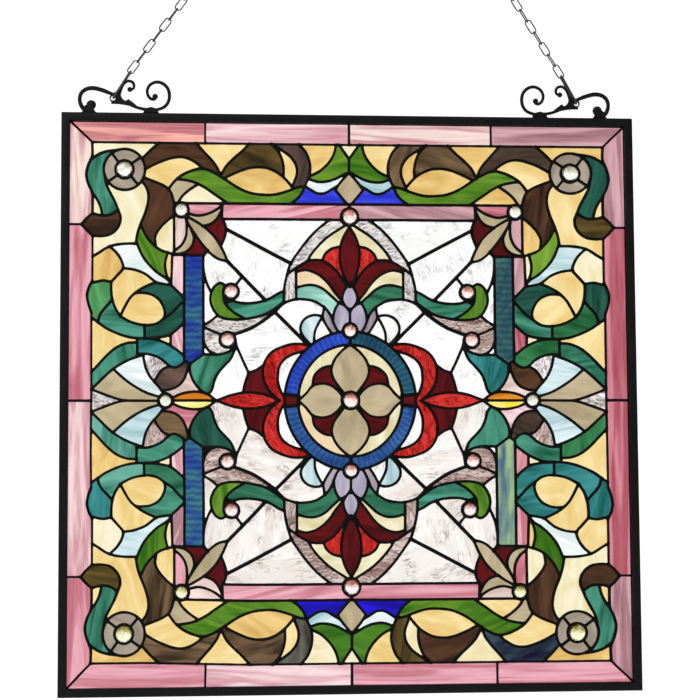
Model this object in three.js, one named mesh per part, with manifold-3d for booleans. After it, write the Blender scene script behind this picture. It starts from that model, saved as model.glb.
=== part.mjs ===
// A hanging stained glass window panel: a square of leaded glass in a black metal channel frame, hung by
// two chains from scroll brackets on its top rail. Millimetres, X to the right, front towards -Y, +Z up.
// The origin is midway between the two hanging rings, where the chains are held.

import * as THREE from 'three';
import { mergeVertices } from 'three/addons/utils/BufferGeometryUtils.js';
import Module from 'manifold-3d';

// Driving dimensions.
const PANEL = 635; // outside of the frame, both ways
const RAIL_FACE = 9.5; // width of a rail as seen from the front
const RAIL_DEPTH = 11;
const RAIL_ROUND = 1.5; // radius of the rail's two outer edges
const GROOVE_WIDTH = 5.6;
const GROOVE_DEPTH = 6;
const GLASS_THICK = 3;
const LEAD_THICK = 5; // solder stands 1 mm proud of the glass on each face
const LEAD_WIDTH = 3.4;
const GAP = 0.3; // clearance kept between neighbouring pieces

const HALF = PANEL / 2;
const GLASS_HALF = HALF - RAIL_FACE + GROOVE_DEPTH - 2 * GAP; // the glass runs this far into the grooves
const BORDER = 285; // half the side of the square inside the pink border
const INNER_TOP = 218; // height of the upper line of the inner border
const INNER_SIDE = 184; // line between the inner border and the blue columns
const INNER_LOW = 200.8; // line under the inner border
const COLUMN_SIDE = 162.5; // inner edge of the blue columns
const COLUMN_TOP = 160.5;
const RING_WIDE = 73.5; // centre of the lead outside the blue ring
const RING_TALL = 77;
const RING_BAND = 14.8; // from the lead outside the blue ring to the one inside it

const CHAIN_WIRE = 1.5;
const LINK_PITCH = 14.85;
const LINK_WIDTH = 8.5; // outside
const LINKS = 7; // in each chain
const HOOK_WIRE = 2.2;
const HOOK_WIDTH = 9.8;
const HOOK_REACH = 41.7; // from the bracket's eye to the middle of the first link
const RING_OUTSIDE = 22;
const RING_WIRE = 2.4;
const EYE_HEIGHT = 16.5; // of the bracket's chain eye above the frame
const EYE_RADIUS = 2.6;
const BAR = 3.8; // diameter of the bracket's scroll bars

// Each side's bracket place and the lean of its hook and chain from the vertical, in degrees.
const SIDES = [
	{ name: 'left', side: - 1, eye: 261.5, hookLean: 32.2, chainLean: 35.9 },
	{ name: 'right', side: 1, eye: 255, hookLean: 28.2, chainLean: 31.3 },
];

const PAINT = {
	frame: [ 0x26262a, 0.55, 0.4 ],
	lead: [ 0x1b1a1a, 0.45, 0.6 ],
	chain: [ 0x55565a, 0.35, 0.9 ],
	pink: [ 0xd98fa4, 0.2, 0 ],
	cream: [ 0xf0dca0, 0.2, 0 ],
	scroll: [ 0x5c7a45, 0.2, 0 ],
	blue: [ 0x27539b, 0.2, 0 ],
	white: [ 0xf2f2f4, 0.12, 0 ],
	taupe: [ 0xb8ab86, 0.2, 0 ],
};

const wasm = await Module();
wasm.setup();

// Three.js geometry to a manifold solid and back.
function solid( geometry ) {

	const bare = geometry.clone();
	bare.deleteAttribute( 'normal' );
	bare.deleteAttribute( 'uv' );
	const merged = mergeVertices( bare, 1e-4 );
	return new wasm.Manifold( new wasm.Mesh( {
		numProp: 3,
		vertProperties: new Float32Array( merged.attributes.position.array ),
		triVerts: new Uint32Array( merged.index.array ),
	} ) );

}

function geometryOf( body ) {

	const mesh = body.getMesh();
	const geometry = new THREE.BufferGeometry();
	geometry.setAttribute( 'position', new THREE.BufferAttribute( new Float32Array( mesh.vertProperties ), 3 ) );
	geometry.setIndex( new THREE.BufferAttribute( new Uint32Array( mesh.triVerts ), 1 ) );
	return geometry;

}

function joined( geometries ) {

	return geometries.map( solid ).reduce( ( all, next ) => all.add( next ) );

}

function named( name, geometry, paint ) {

	const [ color, roughness, metalness ] = PAINT[ paint ];
	const material = new THREE.MeshStandardMaterial( { color, roughness, metalness } );
	const flat = geometry.index ? geometry.toNonIndexed() : geometry;
	flat.computeVertexNormals();
	const mesh = new THREE.Mesh( flat, material );
	mesh.name = name;
	return mesh;

}

// Flat work in the panel's own plane: a shape in x and z, given a thickness about y = 0.
function plate( shape, thickness ) {

	const geometry = new THREE.ExtrudeGeometry( shape, { depth: thickness, bevelEnabled: false } );
	geometry.rotateX( Math.PI / 2 );
	geometry.translate( 0, thickness / 2, 0 );
	return geometry;

}

// A smooth line through a few points, cut into short straight lengths.
function bend( points, lengths = points.length ) {

	const curve = new THREE.CatmullRomCurve3( points.map( ( [ x, z ] ) => new THREE.Vector3( x, z, 0 ) ) );
	return curve.getPoints( lengths ).map( ( p ) => [ p.x, p.y ] );

}

// A strip of lead of even width along a line, with mitred bends.
function strip( line, width ) {

	const at = line.map( ( [ x, z ] ) => new THREE.Vector2( x, z ) );
	const left = [];
	const right = [];
	at.forEach( ( p, i ) => {

		const back = p.clone().sub( at[ Math.max( i - 1, 0 ) ] ).normalize();
		const on = at[ Math.min( i + 1, at.length - 1 ) ].clone().sub( p ).normalize();
		if ( i === 0 ) back.copy( on );
		if ( i === at.length - 1 ) on.copy( back );
		const along = back.clone().add( on ).normalize();
		const across = new THREE.Vector2( - along.y, along.x ).multiplyScalar( width / 2 / along.dot( on ) );
		left.push( p.clone().add( across ) );
		right.unshift( p.clone().sub( across ) );

	} );
	return new THREE.Shape( [ ...left, ...right ] );

}

function oval( wide, tall, steps = 28 ) {

	const turn = Array.from( { length: steps }, ( _, i ) => 2 * Math.PI * i / steps );
	return turn.map( ( a ) => new THREE.Vector2( wide * Math.cos( a ), tall * Math.sin( a ) ) );

}

function ovalStrip( wide, tall, width ) {

	const shape = new THREE.Shape( oval( wide + width / 2, tall + width / 2 ) );
	shape.holes.push( new THREE.Path( oval( wide - width / 2, tall - width / 2 ).reverse() ) );
	return shape;

}

// The main leads of one quarter, as distances out from the centre and up from it.
function quarterLeads() {

	const out = GLASS_HALF + 1;
	return [
		// The border's mitre, its divisions, and the lead along its top.
		[ [ out, out ], [ BORDER, BORDER ] ],
		[ [ 160, out ], [ 160, BORDER ] ],
		[ [ 0, out ], [ 0, BORDER ] ],
		[ [ out, 194 ], [ 295.5, 194 ] ],
		[ [ out, 0 ], [ BORDER, 0 ] ],
		[ [ 0, BORDER ], [ BORDER, BORDER ] ],
		// The lead down the border's side, pushed out by the ribbon, the tail and the bud.
		bend( [ [ 285, 285 ], [ 285.5, 272 ], [ 290.5, 257 ], [ 290.5, 243 ], [ 286, 227 ], [ 284.5, 205 ] ] ),
		bend( [ [ 284.5, 205 ], [ 289.5, 201 ], [ 295.5, 194 ] ], 2 ),
		bend( [ [ 295.5, 194 ], [ 290.5, 187 ], [ 284.5, 181.5 ] ], 2 ),
		[ [ 284.5, 181.5 ], [ 284.5, 132 ] ],
		bend( [ [ 284.5, 132 ], [ 288.5, 122 ], [ 290, 114 ], [ 285, 97 ] ] ),
		[ [ 285, 97 ], [ 285, 0 ] ],
		// Between a corner and the scrolls beside it.
		bend( [ [ 212, 285 ], [ 220, 277 ], [ 229.5, 269 ], [ 228, 255 ], [ 227, 242 ], [ 223.5, 227 ] ] ),
		bend( [ [ 223.5, 227 ], [ 226, 212 ], [ 232, 195 ], [ 236, 182 ], [ 237, 172.5 ] ] ),
		bend( [ [ 237, 172.5 ], [ 253, 173 ], [ 269, 168.5 ], [ 284.5, 158 ] ] ),
		bend( [ [ 232.5, 193 ], [ 226, 181 ], [ 216, 170.5 ], [ 196, 161 ] ] ),
		// The inner border and the columns.
		[ [ 0, INNER_TOP ], [ 195.5, INNER_TOP ], [ 195.5, COLUMN_TOP ], [ COLUMN_SIDE, COLUMN_TOP ] ],
		[ [ 0, INNER_LOW ], [ 141.5, INNER_LOW ], [ 141.5, INNER_TOP ] ],
		[ [ INNER_SIDE, COLUMN_TOP ], [ INNER_SIDE, 45.5 ], [ 177.5, 40.5 ] ],
		[ [ COLUMN_SIDE, COLUMN_TOP ], [ COLUMN_SIDE, 51 ], [ 177.5, 40.5 ] ],
		// From the foot of a column round to the point of the amber almond.
		bend( [ [ 177.5, 40.5 ], [ 175, 28 ], [ 166, 13 ], [ 148, 0 ] ] ),
	];

}

// Leads that are only above the middle: the top of the red almond, and the end of the ring's upper glass.
function upperLeads() {

	const ringInside = RING_WIDE - RING_BAND;
	return [
		bend( [ [ 148, 0 ], [ 130, 6.5 ], [ 111, 8.5 ], [ 93, 6 ], [ RING_WIDE, 0 ] ] ),
		[ [ RING_WIDE - 0.5, 8.5 ], [ ringInside - 0.5, 7.5 ] ],
	];

}

function leadWork( width, thickness ) {

	const strips = [];
	for ( const across of [ - 1, 1 ] ) {

		for ( const up of [ - 1, 1 ] ) {

			const lines = up > 0 ? [ ...quarterLeads(), ...upperLeads() ] : quarterLeads();
			for ( const line of lines ) {

				const run = line.map( ( [ x, z ] ) => [ across * x, up * z ] );
				strips.push( strip( run, width ) );

			}

		}

	}

	strips.push( ovalStrip( RING_WIDE, RING_TALL, width ) );
	strips.push( ovalStrip( RING_WIDE - RING_BAND, RING_TALL - RING_BAND, width ) );
	return joined( strips.map( ( shape ) => plate( shape, thickness ) ) );

}

// The glass: one sheet cut up by the main leads, each piece known by a point inside it.
function glassPlaces() {

	const along = [ 235, 80, - 80, - 235 ];
	const strip = HALF - RAIL_FACE - 10;
	const places = [];
	along.forEach( ( at, i ) => {

		places.push( [ `border_glass_top_${ i + 1 }`, - at, strip, 'pink' ] );
		places.push( [ `border_glass_right_${ i + 1 }`, strip, at, 'pink' ] );
		places.push( [ `border_glass_bottom_${ i + 1 }`, - at, - strip, 'pink' ] );
		places.push( [ `border_glass_left_${ i + 1 }`, - strip, at, 'pink' ] );

	} );
	for ( const [ row, up ] of [ [ 'top', 1 ], [ 'bottom', - 1 ] ] ) {

		for ( const [ column, across ] of [ [ 'left', - 1 ], [ 'right', 1 ] ] ) {

			places.push( [ `corner_glass_${ row }_${ column }`, across * 280, up * 278, 'cream' ] );
			places.push( [ `blue_column_${ row }_${ column }`, across * 173, up * 100, 'blue' ] );

		}

		places.push( [ `scroll_glass_${ row }`, 0, up * 250, 'scroll' ] );
		places.push( [ `inner_border_${ row }`, 0, up * 209, 'pink' ] );
		places.push( [ `field_glass_${ row }`, 0, up * 120, 'white' ] );
		places.push( [ `ring_glass_${ row }`, 0, up * ( RING_TALL - RING_BAND / 2 ), 'blue' ] );

	}

	places.push( [ 'scroll_glass_left', - 240, 0, 'scroll' ] );
	places.push( [ 'scroll_glass_right', 240, 0, 'scroll' ] );
	places.push( [ 'rosette_glass', 0, 0, 'taupe' ] );
	return places;

}

function sheet( thickness ) {

	return solid( new THREE.BoxGeometry( 2 * GLASS_HALF, thickness, 2 * GLASS_HALF ) );

}

function glassPieces() {

	const pieces = sheet( GLASS_THICK ).subtract( leadWork( LEAD_WIDTH + 2 * GAP, LEAD_THICK ) ).decompose();
	return glassPlaces().map( ( [ name, x, z, paint ] ) => {

		const probe = solid( new THREE.BoxGeometry( 1, 1, 1 ).translate( x, 0, z ) );
		const piece = pieces.find( ( one ) => ! one.intersect( probe ).isEmpty() );
		return named( name, geometryOf( piece ), paint );

	} );

}

// A U-section rail along the top, mitred at both ends, then turned to each side of the square.
function rail( name, turn ) {

	const depth = RAIL_DEPTH / 2;
	const groove = GROOVE_WIDTH / 2;
	const floor = RAIL_FACE - GROOVE_DEPTH;
	const section = new THREE.Shape();
	section.moveTo( RAIL_FACE, - depth );
	section.lineTo( RAIL_FACE, - groove );
	section.lineTo( floor, - groove );
	section.lineTo( floor, groove );
	section.lineTo( RAIL_FACE, groove );
	section.lineTo( RAIL_FACE, depth );
	section.absarc( RAIL_ROUND, depth - RAIL_ROUND, RAIL_ROUND, Math.PI / 2, Math.PI, false );
	section.absarc( RAIL_ROUND, RAIL_ROUND - depth, RAIL_ROUND, Math.PI, 1.5 * Math.PI, false );
	const geometry = new THREE.ExtrudeGeometry( section, { depth: 1, bevelEnabled: false, curveSegments: 3 } );
	const at = geometry.attributes.position;
	for ( let i = 0; i < at.count; i ++ ) {

		const inward = at.getX( i );
		const end = at.getZ( i ) > 0.5 ? 1 : - 1;
		at.setXYZ( i, end * ( HALF - inward - GAP ), at.getY( i ), HALF - inward );

	}

	geometry.rotateY( turn );
	return named( name, geometry, 'frame' );

}

// A round bar bent through points in the bracket's plane.
function bar( points, diameter, steps ) {

	const path = new THREE.CatmullRomCurve3( points.map( ( [ x, z ] ) => new THREE.Vector3( x, 0, z ) ) );
	const section = new THREE.Shape( oval( diameter / 2, diameter / 2, 6 ) );
	return new THREE.ExtrudeGeometry( section, { steps, bevelEnabled: false, extrudePath: path } );

}

function knob( x, z, radius ) {

	return new THREE.IcosahedronGeometry( radius, 1 ).translate( x, 0, z );

}

// A scroll bracket, drawn outwards from its chain eye and up from the rail that its two feet are on.
function bracket() {

	const foot = ( near, far, top ) => {

		const shape = new THREE.Shape();
		shape.moveTo( near, GAP );
		shape.lineTo( far, GAP );
		shape.lineTo( far - 1.5, top );
		shape.lineTo( near + 1.5, top );
		return plate( shape, BAR + 2 );

	};

	// The leaf that carries the eye, drawn out into the bar beyond it.
	const leaf = new THREE.Shape();
	leaf.moveTo( 2, 10.3 );
	leaf.quadraticCurveTo( - 0.5, 11.5, - 0.8, 13 );
	leaf.quadraticCurveTo( 4.2, 14, 3.6, 18.5 );
	leaf.quadraticCurveTo( 0, 24, - 7.5, 25.5 );
	leaf.quadraticCurveTo( - 8.5, 15.5, - 14, 13.8 );
	leaf.lineTo( - 16.5, 16.1 );
	leaf.quadraticCurveTo( - 22, 12.5, - 24, 8 );
	leaf.lineTo( - 23, 6.8 );
	leaf.quadraticCurveTo( - 10, 11.5, 2, 10.3 );
	const round = oval( EYE_RADIUS, EYE_RADIUS, 16 ).map( ( p ) => p.setY( p.y + EYE_HEIGHT ) );
	leaf.holes.push( new THREE.Path( round.reverse() ) );
	const leafPlate = new THREE.ExtrudeGeometry( leaf, { depth: BAR, bevelEnabled: false, curveSegments: 3 } );
	leafPlate.rotateX( Math.PI / 2 );
	leafPlate.translate( 0, BAR / 2, 0 );

	const backLoop = [ [ 31, 2.5 ], [ 35, 8 ], [ 36.8, 15.5 ], [ 35, 22 ], [ 29.5, 26.6 ], [ 22, 28 ],
		[ 12.5, 26 ], [ 5, 23.2 ], [ 0.5, 21.4 ] ];
	const curl = [ [ - 6.5, 21 ], [ - 9, 28 ], [ - 12, 33.5 ], [ - 16.5, 36.4 ], [ - 21, 35.2 ], [ - 23, 31 ],
		[ - 22.4, 27.5 ], [ - 19.5, 25.8 ] ];
	const volute = [ [ - 20, 9 ], [ - 29.5, 5.6 ], [ - 38, 4.2 ], [ - 48, 4.3 ], [ - 56.5, 7.7 ],
		[ - 60.8, 13.5 ], [ - 62, 20.5 ], [ - 60, 28.3 ], [ - 54.5, 33.8 ], [ - 47.5, 35.5 ],
		[ - 40.7, 32.3 ], [ - 37.3, 25.8 ], [ - 38.5, 19 ], [ - 43, 16.2 ] ];
	return joined( [
		leafPlate,
		foot( 19.5, 33.5, 4 ),
		foot( - 49.5, - 33.5, 4.5 ),
		bar( backLoop, BAR + 0.6, 14 ),
		bar( curl, BAR - 0.8, 10 ),
		bar( volute, BAR, 24 ),
		knob( 23.6, 9.2, 5.7 ),
		knob( - 18.3, 26.8, 2.9 ),
		knob( - 44.5, 18.6, 3 ),
	] );

}

// A welded link: a round wire bent to a long ring, its length along Z, started at the middle of its top.
function link( length, width, wire, steps ) {

	const round = ( width - wire ) / 2;
	const straight = ( length - wire ) / 2 - round;
	const eighths = [ 0, 1, 2, 2, 3, 4, 5, 6, 6, 7 ];
	const points = eighths.map( ( eighth, i ) => {

		const turn = eighth * Math.PI / 4;
		const end = i > 2 && i < 8 ? - 1 : 1;
		return new THREE.Vector3( round * Math.sin( turn ), 0, end * straight + round * Math.cos( turn ) );

	} );
	const path = new THREE.CatmullRomCurve3( points, true );
	return new THREE.TubeGeometry( path, steps, wire / 2, 5, true );

}

// One side's hanging gear, from the bracket's eye up to the ring: its meshes, and where the ring bears.
function hangingGear( { name, side, eye, hookLean, chainLean } ) {

	const inward = ( lean ) => - side * THREE.MathUtils.degToRad( lean );
	const leaning = ( lean ) => new THREE.Vector3( Math.sin( inward( lean ) ), 0, Math.cos( inward( lean ) ) );
	const placed = ( mesh, turned, lean, at ) => {

		mesh.geometry.rotateZ( turned ).rotateY( inward( lean ) );
		mesh.position.copy( at );
		return mesh;

	};

	const start = new THREE.Vector3( side * eye, 0, HALF + EYE_HEIGHT );
	const meshes = [];
	const inside = LINK_PITCH / 2 + GAP / 2; // half the opening of a chain link

	// The long link through the eye ends inside the first chain link.
	const low = - HOOK_WIRE / 2 + 0.3;
	const high = HOOK_REACH - inside + HOOK_WIRE + 3 * GAP;
	const longLink = link( high - low, HOOK_WIDTH, HOOK_WIRE, 20 );
	const longAt = start.clone().addScaledVector( leaning( hookLean ), ( high + low ) / 2 );
	meshes.push( placed( named( `long_link_${ name }`, longLink, 'chain' ), Math.PI / 2, hookLean, longAt ) );

	const first = start.clone().addScaledVector( leaning( hookLean ), HOOK_REACH );
	const up = leaning( chainLean );
	for ( let i = 0; i < LINKS; i ++ ) {

		const one = link( 2 * inside + 2 * CHAIN_WIRE, LINK_WIDTH, CHAIN_WIRE, 10 );
		const at = first.clone().addScaledVector( up, i * LINK_PITCH );
		const turned = i % 2 ? Math.PI / 2 : 0;
		meshes.push( placed( named( `chain_link_${ name }_${ i + 1 }`, one, 'chain' ), turned, chainLean, at ) );

	}

	const middle = ( RING_OUTSIDE - RING_WIRE ) / 2;
	const last = first.clone().addScaledVector( up, ( LINKS - 1 ) * LINK_PITCH );
	const ringAt = last.clone().addScaledVector( up, inside - GAP - RING_WIRE / 2 + middle );
	const ring = new THREE.TorusGeometry( middle, RING_WIRE / 2, 6, 16 ).rotateX( Math.PI / 2 );
	meshes.push( placed( named( `hanging_ring_${ name }`, ring, 'chain' ), Math.PI / 2, chainLean, ringAt ) );
	const bearing = ringAt.clone().addScaledVector( up, middle - RING_WIRE / 2 );
	return { meshes, bearing };

}

// Everything is laid out from the panel's centre, and then let down from the origin between the two rings.
const panel = new THREE.Group();
panel.add( rail( 'rail_top', 0 ), rail( 'rail_right', Math.PI / 2 ) );
panel.add( rail( 'rail_bottom', Math.PI ), rail( 'rail_left', - Math.PI / 2 ) );
const leads = leadWork( LEAD_WIDTH, LEAD_THICK ).intersect( sheet( LEAD_THICK ) );
panel.add( named( 'lead_work', geometryOf( leads ), 'lead' ) );
panel.add( ...glassPieces() );

const gear = SIDES.map( hangingGear );
SIDES.forEach( ( { name, side, eye }, i ) => {

	const body = side > 0 ? bracket() : bracket().mirror( [ 1, 0, 0 ] );
	const scroll = named( `bracket_${ name }`, geometryOf( body ), 'frame' );
	scroll.position.set( side * eye, 0, HALF );
	panel.add( scroll, ...gear[ i ].meshes );

} );
panel.position.z = - ( gear[ 0 ].bearing.z + gear[ 1 ].bearing.z ) / 2;

const group = new THREE.Group();
group.add( panel );
export default group;
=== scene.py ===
# A hanging stained glass panel: the visual model that goes with the CAD frame. Metres, X to the right,
# front towards -Y, +Z up; the origin is about midway between the two rings the chains hang from.

from math import atan2, ceil, cos, hypot, pi, radians, sin, sqrt
import bpy
import numpy as np
from mathutils import Matrix, Vector, geometry


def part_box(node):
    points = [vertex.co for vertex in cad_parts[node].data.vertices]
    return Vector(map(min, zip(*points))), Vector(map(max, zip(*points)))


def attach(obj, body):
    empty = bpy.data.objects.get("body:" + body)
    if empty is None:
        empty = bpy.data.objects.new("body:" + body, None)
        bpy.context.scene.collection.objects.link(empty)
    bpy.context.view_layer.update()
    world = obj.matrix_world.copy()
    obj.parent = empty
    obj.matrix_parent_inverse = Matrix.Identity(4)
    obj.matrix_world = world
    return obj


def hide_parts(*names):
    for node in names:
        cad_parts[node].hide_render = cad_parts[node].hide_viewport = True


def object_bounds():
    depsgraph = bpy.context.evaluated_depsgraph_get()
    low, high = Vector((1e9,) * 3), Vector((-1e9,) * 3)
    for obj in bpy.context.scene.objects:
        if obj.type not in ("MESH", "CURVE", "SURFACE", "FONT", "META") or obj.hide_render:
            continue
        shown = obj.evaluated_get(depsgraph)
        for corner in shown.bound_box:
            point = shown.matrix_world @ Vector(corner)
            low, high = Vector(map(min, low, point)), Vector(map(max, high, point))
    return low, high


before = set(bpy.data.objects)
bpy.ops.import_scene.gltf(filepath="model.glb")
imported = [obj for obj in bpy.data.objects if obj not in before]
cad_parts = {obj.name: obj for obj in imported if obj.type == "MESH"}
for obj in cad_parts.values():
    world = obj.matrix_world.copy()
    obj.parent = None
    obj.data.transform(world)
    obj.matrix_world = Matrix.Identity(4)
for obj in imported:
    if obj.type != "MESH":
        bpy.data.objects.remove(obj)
cad_low, cad_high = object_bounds()


# ---------------------------------------------------------------------------------------------------------
# The channel frame. Four lengths of black painted U channel hold the glass, with mitred, soldered corners.
# The paint is satin, a little uneven and paler in places.

MM = 0.001
top_low, top_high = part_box("rail_top")
left_low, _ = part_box("rail_left")
_, right_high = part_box("rail_right")
bottom_low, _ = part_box("rail_bottom")
PANEL_MID = (Vector((left_low.x, 0, bottom_low.z)) + Vector((right_high.x, 0, top_high.z))) / 2
HALF = (right_high.x - left_low.x) / 2 / MM  # half the outside of the frame, in millimetres
RAIL_FACE = (top_high.z - top_low.z) / MM
RAIL_DEPTH = (top_high.y - top_low.y) / MM
RAIL_ROUND = 1.6  # of the channel's outer edges
LIP_ROUND = 0.5  # of the edges beside the glass
GROOVE_HALF = 2.9
GROOVE_DEPTH = 6
MITRE_GAP = 0.12  # each end stops this far short of the corner, so that the joint shows
RAIL_STEPS = 40


class Value:
    """A number that shader nodes work out. Its sums are written as ordinary Python ones."""

    def __init__(self, shader, socket):
        self.shader = shader
        self.socket = socket

    def result(self, operation, a, b=0.0):
        return self.shader.value("ShaderNodeMath", {"operation": operation}, {0: a, 1: b})

    def __add__(self, other):
        return self.result("ADD", self, other)

    def __radd__(self, other):
        return self.result("ADD", other, self)

    def __sub__(self, other):
        return self.result("SUBTRACT", self, other)

    def __mul__(self, other):
        return self.result("MULTIPLY", self, other)

    def larger(self, other):
        return self.result("MAXIMUM", self, other)

    def size(self):
        return self.result("ABSOLUTE", self)

    def sine(self):
        return self.result("SINE", self)

    def spread(self, low, high, first=0.0, last=1.0):
        """This value's range from low to high, stretched to run from first to last and held there."""
        ranged = {"Value": self, "From Min": low, "From Max": high, "To Min": first, "To Max": last}
        return self.shader.value("ShaderNodeMapRange", {"clamp": True}, ranged)


class Shader:
    """The nodes of one material or of the world. Their inputs may be plain numbers, colours, or Values."""

    def __init__(self, owner):
        self.owner = owner
        owner.use_nodes = True
        self.tree = owner.node_tree
        self.tree.nodes.clear()

    def node(self, kind, settings=None, inputs=None):
        made = self.tree.nodes.new(kind)
        for name, setting in (settings or {}).items():
            setattr(made, name, setting)
        for name, given in (inputs or {}).items():
            if isinstance(given, Value):
                self.tree.links.new(given.socket, made.inputs[name])
            else:
                made.inputs[name].default_value = given
        return made

    def value(self, kind, settings=None, inputs=None, output=0):
        """One output of a new node."""
        return Value(self, self.node(kind, settings, inputs).outputs[output])

    def place(self):
        """Where the surface is, in metres."""
        return self.value("ShaderNodeTexCoord", output="Object")

    def attribute(self, name, output):
        """What a mesh says of itself at each point."""
        return self.value("ShaderNodeAttribute", {"attribute_name": name}, output=output)

    def part_of(self, place, axis):
        return self.value("ShaderNodeSeparateXYZ", None, {0: place}, axis)

    def stretched(self, place, scale):
        return self.value("ShaderNodeVectorMath", {"operation": "MULTIPLY"}, {0: place, 1: scale})

    def noise(self, place, scale, detail=2.0, distortion=0.0):
        inputs = {"Vector": place, "Scale": scale, "Detail": detail, "Distortion": distortion}
        return self.value("ShaderNodeTexNoise", None, inputs)

    def mix(self, share, first, second):
        """Two colours mixed. The numbers are those of the node's colour inputs and its colour output."""
        return self.value("ShaderNodeMix", {"data_type": "RGBA"}, {0: share, 6: first, 7: second}, 2)

    def bump(self, height, depth):
        return self.value("ShaderNodeBump", None, {"Height": height, "Distance": depth, "Strength": 1.0})

    def finished(self, inputs, kind="ShaderNodeBsdfPrincipled", end="ShaderNodeOutputMaterial"):
        surface = self.node(kind, None, inputs)
        self.tree.links.new(surface.outputs[0], self.node(end).inputs[0])
        return self.owner


def linear(red, green, blue):
    """A screen colour, 0 to 255, as the linear colour shaders use."""
    parts = [part / 255 for part in (red, green, blue)]
    return (*[part / 12.92 if part < 0.04 else ((part + 0.055) / 1.055) ** 2.4 for part in parts], 1.0)


def metal(name, dark, pale, metallic, roughness, grain=900.0, depth=0.00004):
    """Painted or tarnished metal, its colour cloudy between two, with a fine grain of this depth."""
    shader = Shader(bpy.data.materials.new(name))
    place = shader.place()
    cloud = shader.noise(place, 30.0, 3.0).spread(0.35, 0.7)
    fine = shader.noise(place, grain, 2.0)
    return shader.finished({
        "Base Color": shader.mix(cloud * 0.6 + fine * 0.4, dark, pale),
        "Metallic": metallic,
        "Roughness": roughness + cloud * 0.12 + fine * 0.08,
        "Normal": shader.bump(fine, depth),
    })


def add(name, data):
    """A new object in the scene, made of this mesh, lamp or camera."""
    made = bpy.data.objects.new(name, data)
    bpy.context.scene.collection.objects.link(made)
    return made


def piece(name, points, faces, materials, nodes, kinds=None, crease=35):
    """One visual piece from points in metres, riding on the part and standing for its CAD nodes."""
    mesh = bpy.data.meshes.new(name)
    mesh.from_pydata(points, [], faces)
    for material in materials:
        mesh.materials.append(material)
    if kinds is not None:
        mesh.polygons.foreach_set("material_index", kinds)
    mesh.shade_smooth()
    mesh.set_sharp_from_angle(angle=radians(crease))
    mesh.update()
    made = add(name, mesh)
    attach(made, "root")
    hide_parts(*nodes)
    return made


def arc(x, y, radius, start, end, steps):
    """Points round part of a circle, from one angle in degrees to another."""
    turns = [radians(start + (end - start) * i / steps) for i in range(steps + 1)]
    return [(x + radius * cos(turn), y + radius * sin(turn)) for turn in turns]


def skin(rows, around, looped=False):
    """The faces over rows of points, each a ring of this many. Rows that aren't looped are capped."""
    faces = []
    for row in range(rows if looped else rows - 1):
        a, b = row * around, (row + 1) % rows * around
        for j in range(around):
            k = (j + 1) % around
            faces.append((a + j, a + k, b + k, b + j))
    if not looped:
        faces += [tuple(range(around))[::-1], tuple(range((rows - 1) * around, rows * around))]
    return faces


def rail(name, side):
    """A length of channel. Its section is measured inwards from the outer edge, and to front and back."""
    depth = RAIL_DEPTH / 2
    floor = RAIL_FACE - GROOVE_DEPTH
    section = [
        *arc(RAIL_ROUND, RAIL_ROUND - depth, RAIL_ROUND, 180, 270, 6),
        *arc(RAIL_FACE - LIP_ROUND, LIP_ROUND - depth, LIP_ROUND, 270, 360, 3),
        (RAIL_FACE, -GROOVE_HALF), (floor, -GROOVE_HALF), (floor, GROOVE_HALF), (RAIL_FACE, GROOVE_HALF),
        *arc(RAIL_FACE - LIP_ROUND, depth - LIP_ROUND, LIP_ROUND, 0, 90, 3),
        *arc(RAIL_ROUND, depth - RAIL_ROUND, RAIL_ROUND, 90, 180, 6),
    ]
    turn = Matrix.Rotation(side * pi / 2, 3, "Y")
    points = []
    for i in range(RAIL_STEPS + 1):
        along = 2 * i / RAIL_STEPS - 1
        for inward, y in section:
            reach = HALF - inward - MITRE_GAP
            points.append(PANEL_MID + turn @ Vector((along * reach, y, HALF - inward)) * MM)
    faces = skin(RAIL_STEPS + 1, len(section))
    piece(f"channel_{name}", points, faces, [frame_paint], [f"rail_{name}"])


frame_paint = metal("frame paint", linear(8, 8, 9), linear(24, 24, 26), 0.5, 0.42)
for side, name in enumerate(("top", "right", "bottom", "left")):
    rail(name, side)


# ---------------------------------------------------------------------------------------------------------
# The pattern. A hand-cut design, drawn here as the centre lines of its solder, in millimetres out from the
# panel's middle and up from it. One quarter is drawn, and its mirror images make the other three.

GROOVE_SLACK = 1.1  # left between the glass and the groove's floor
GLASS_EDGE = HALF - RAIL_FACE + GROOVE_DEPTH - GROOVE_SLACK
LINE_HALF = 1.5  # half the width of an ordinary solder line
HEAVY_HALF = 2.0
THIN_HALF = 1.2
LINE_STEP = 2.0  # between the points of a smooth line

quarter_lines = []  # half the width of each line, and its points
gem_rims = []


def between(a, b, c, d, times, at):
    """One coordinate of a smooth line from b to c, with a and d the points before and after."""
    t0, t1, t2, t3 = times
    ab = a + (b - a) * (at - t0) / (t1 - t0)
    bc = b + (c - b) * (at - t1) / (t2 - t1)
    cd = c + (d - c) * (at - t2) / (t3 - t2)
    abc = ab + (bc - ab) * (at - t0) / (t2 - t0)
    bcd = bc + (cd - bc) * (at - t1) / (t3 - t1)
    return abc + (bcd - abc) * (at - t1) / (t2 - t1)


def spline(points, step=LINE_STEP):
    """A smooth line through every one of its points."""
    before = tuple(2 * p - q for p, q in zip(points[0], points[1]))
    after = tuple(2 * p - q for p, q in zip(points[-1], points[-2]))
    knots = [before, *points, after]
    line = [tuple(points[0])]
    for four in zip(knots, knots[1:], knots[2:], knots[3:]):
        times = [0.0]
        for p, q in zip(four, four[1:]):
            times.append(times[-1] + sqrt(max(hypot(*(a - b for a, b in zip(p, q))), 1e-6)))
        parts = max(2, round((times[2] - times[1]) ** 2 / step))
        for i in range(1, parts + 1):
            at = times[1] + (times[2] - times[1]) * i / parts
            line.append(tuple(between(*along, times, at) for along in zip(*four)))
    return line


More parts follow.
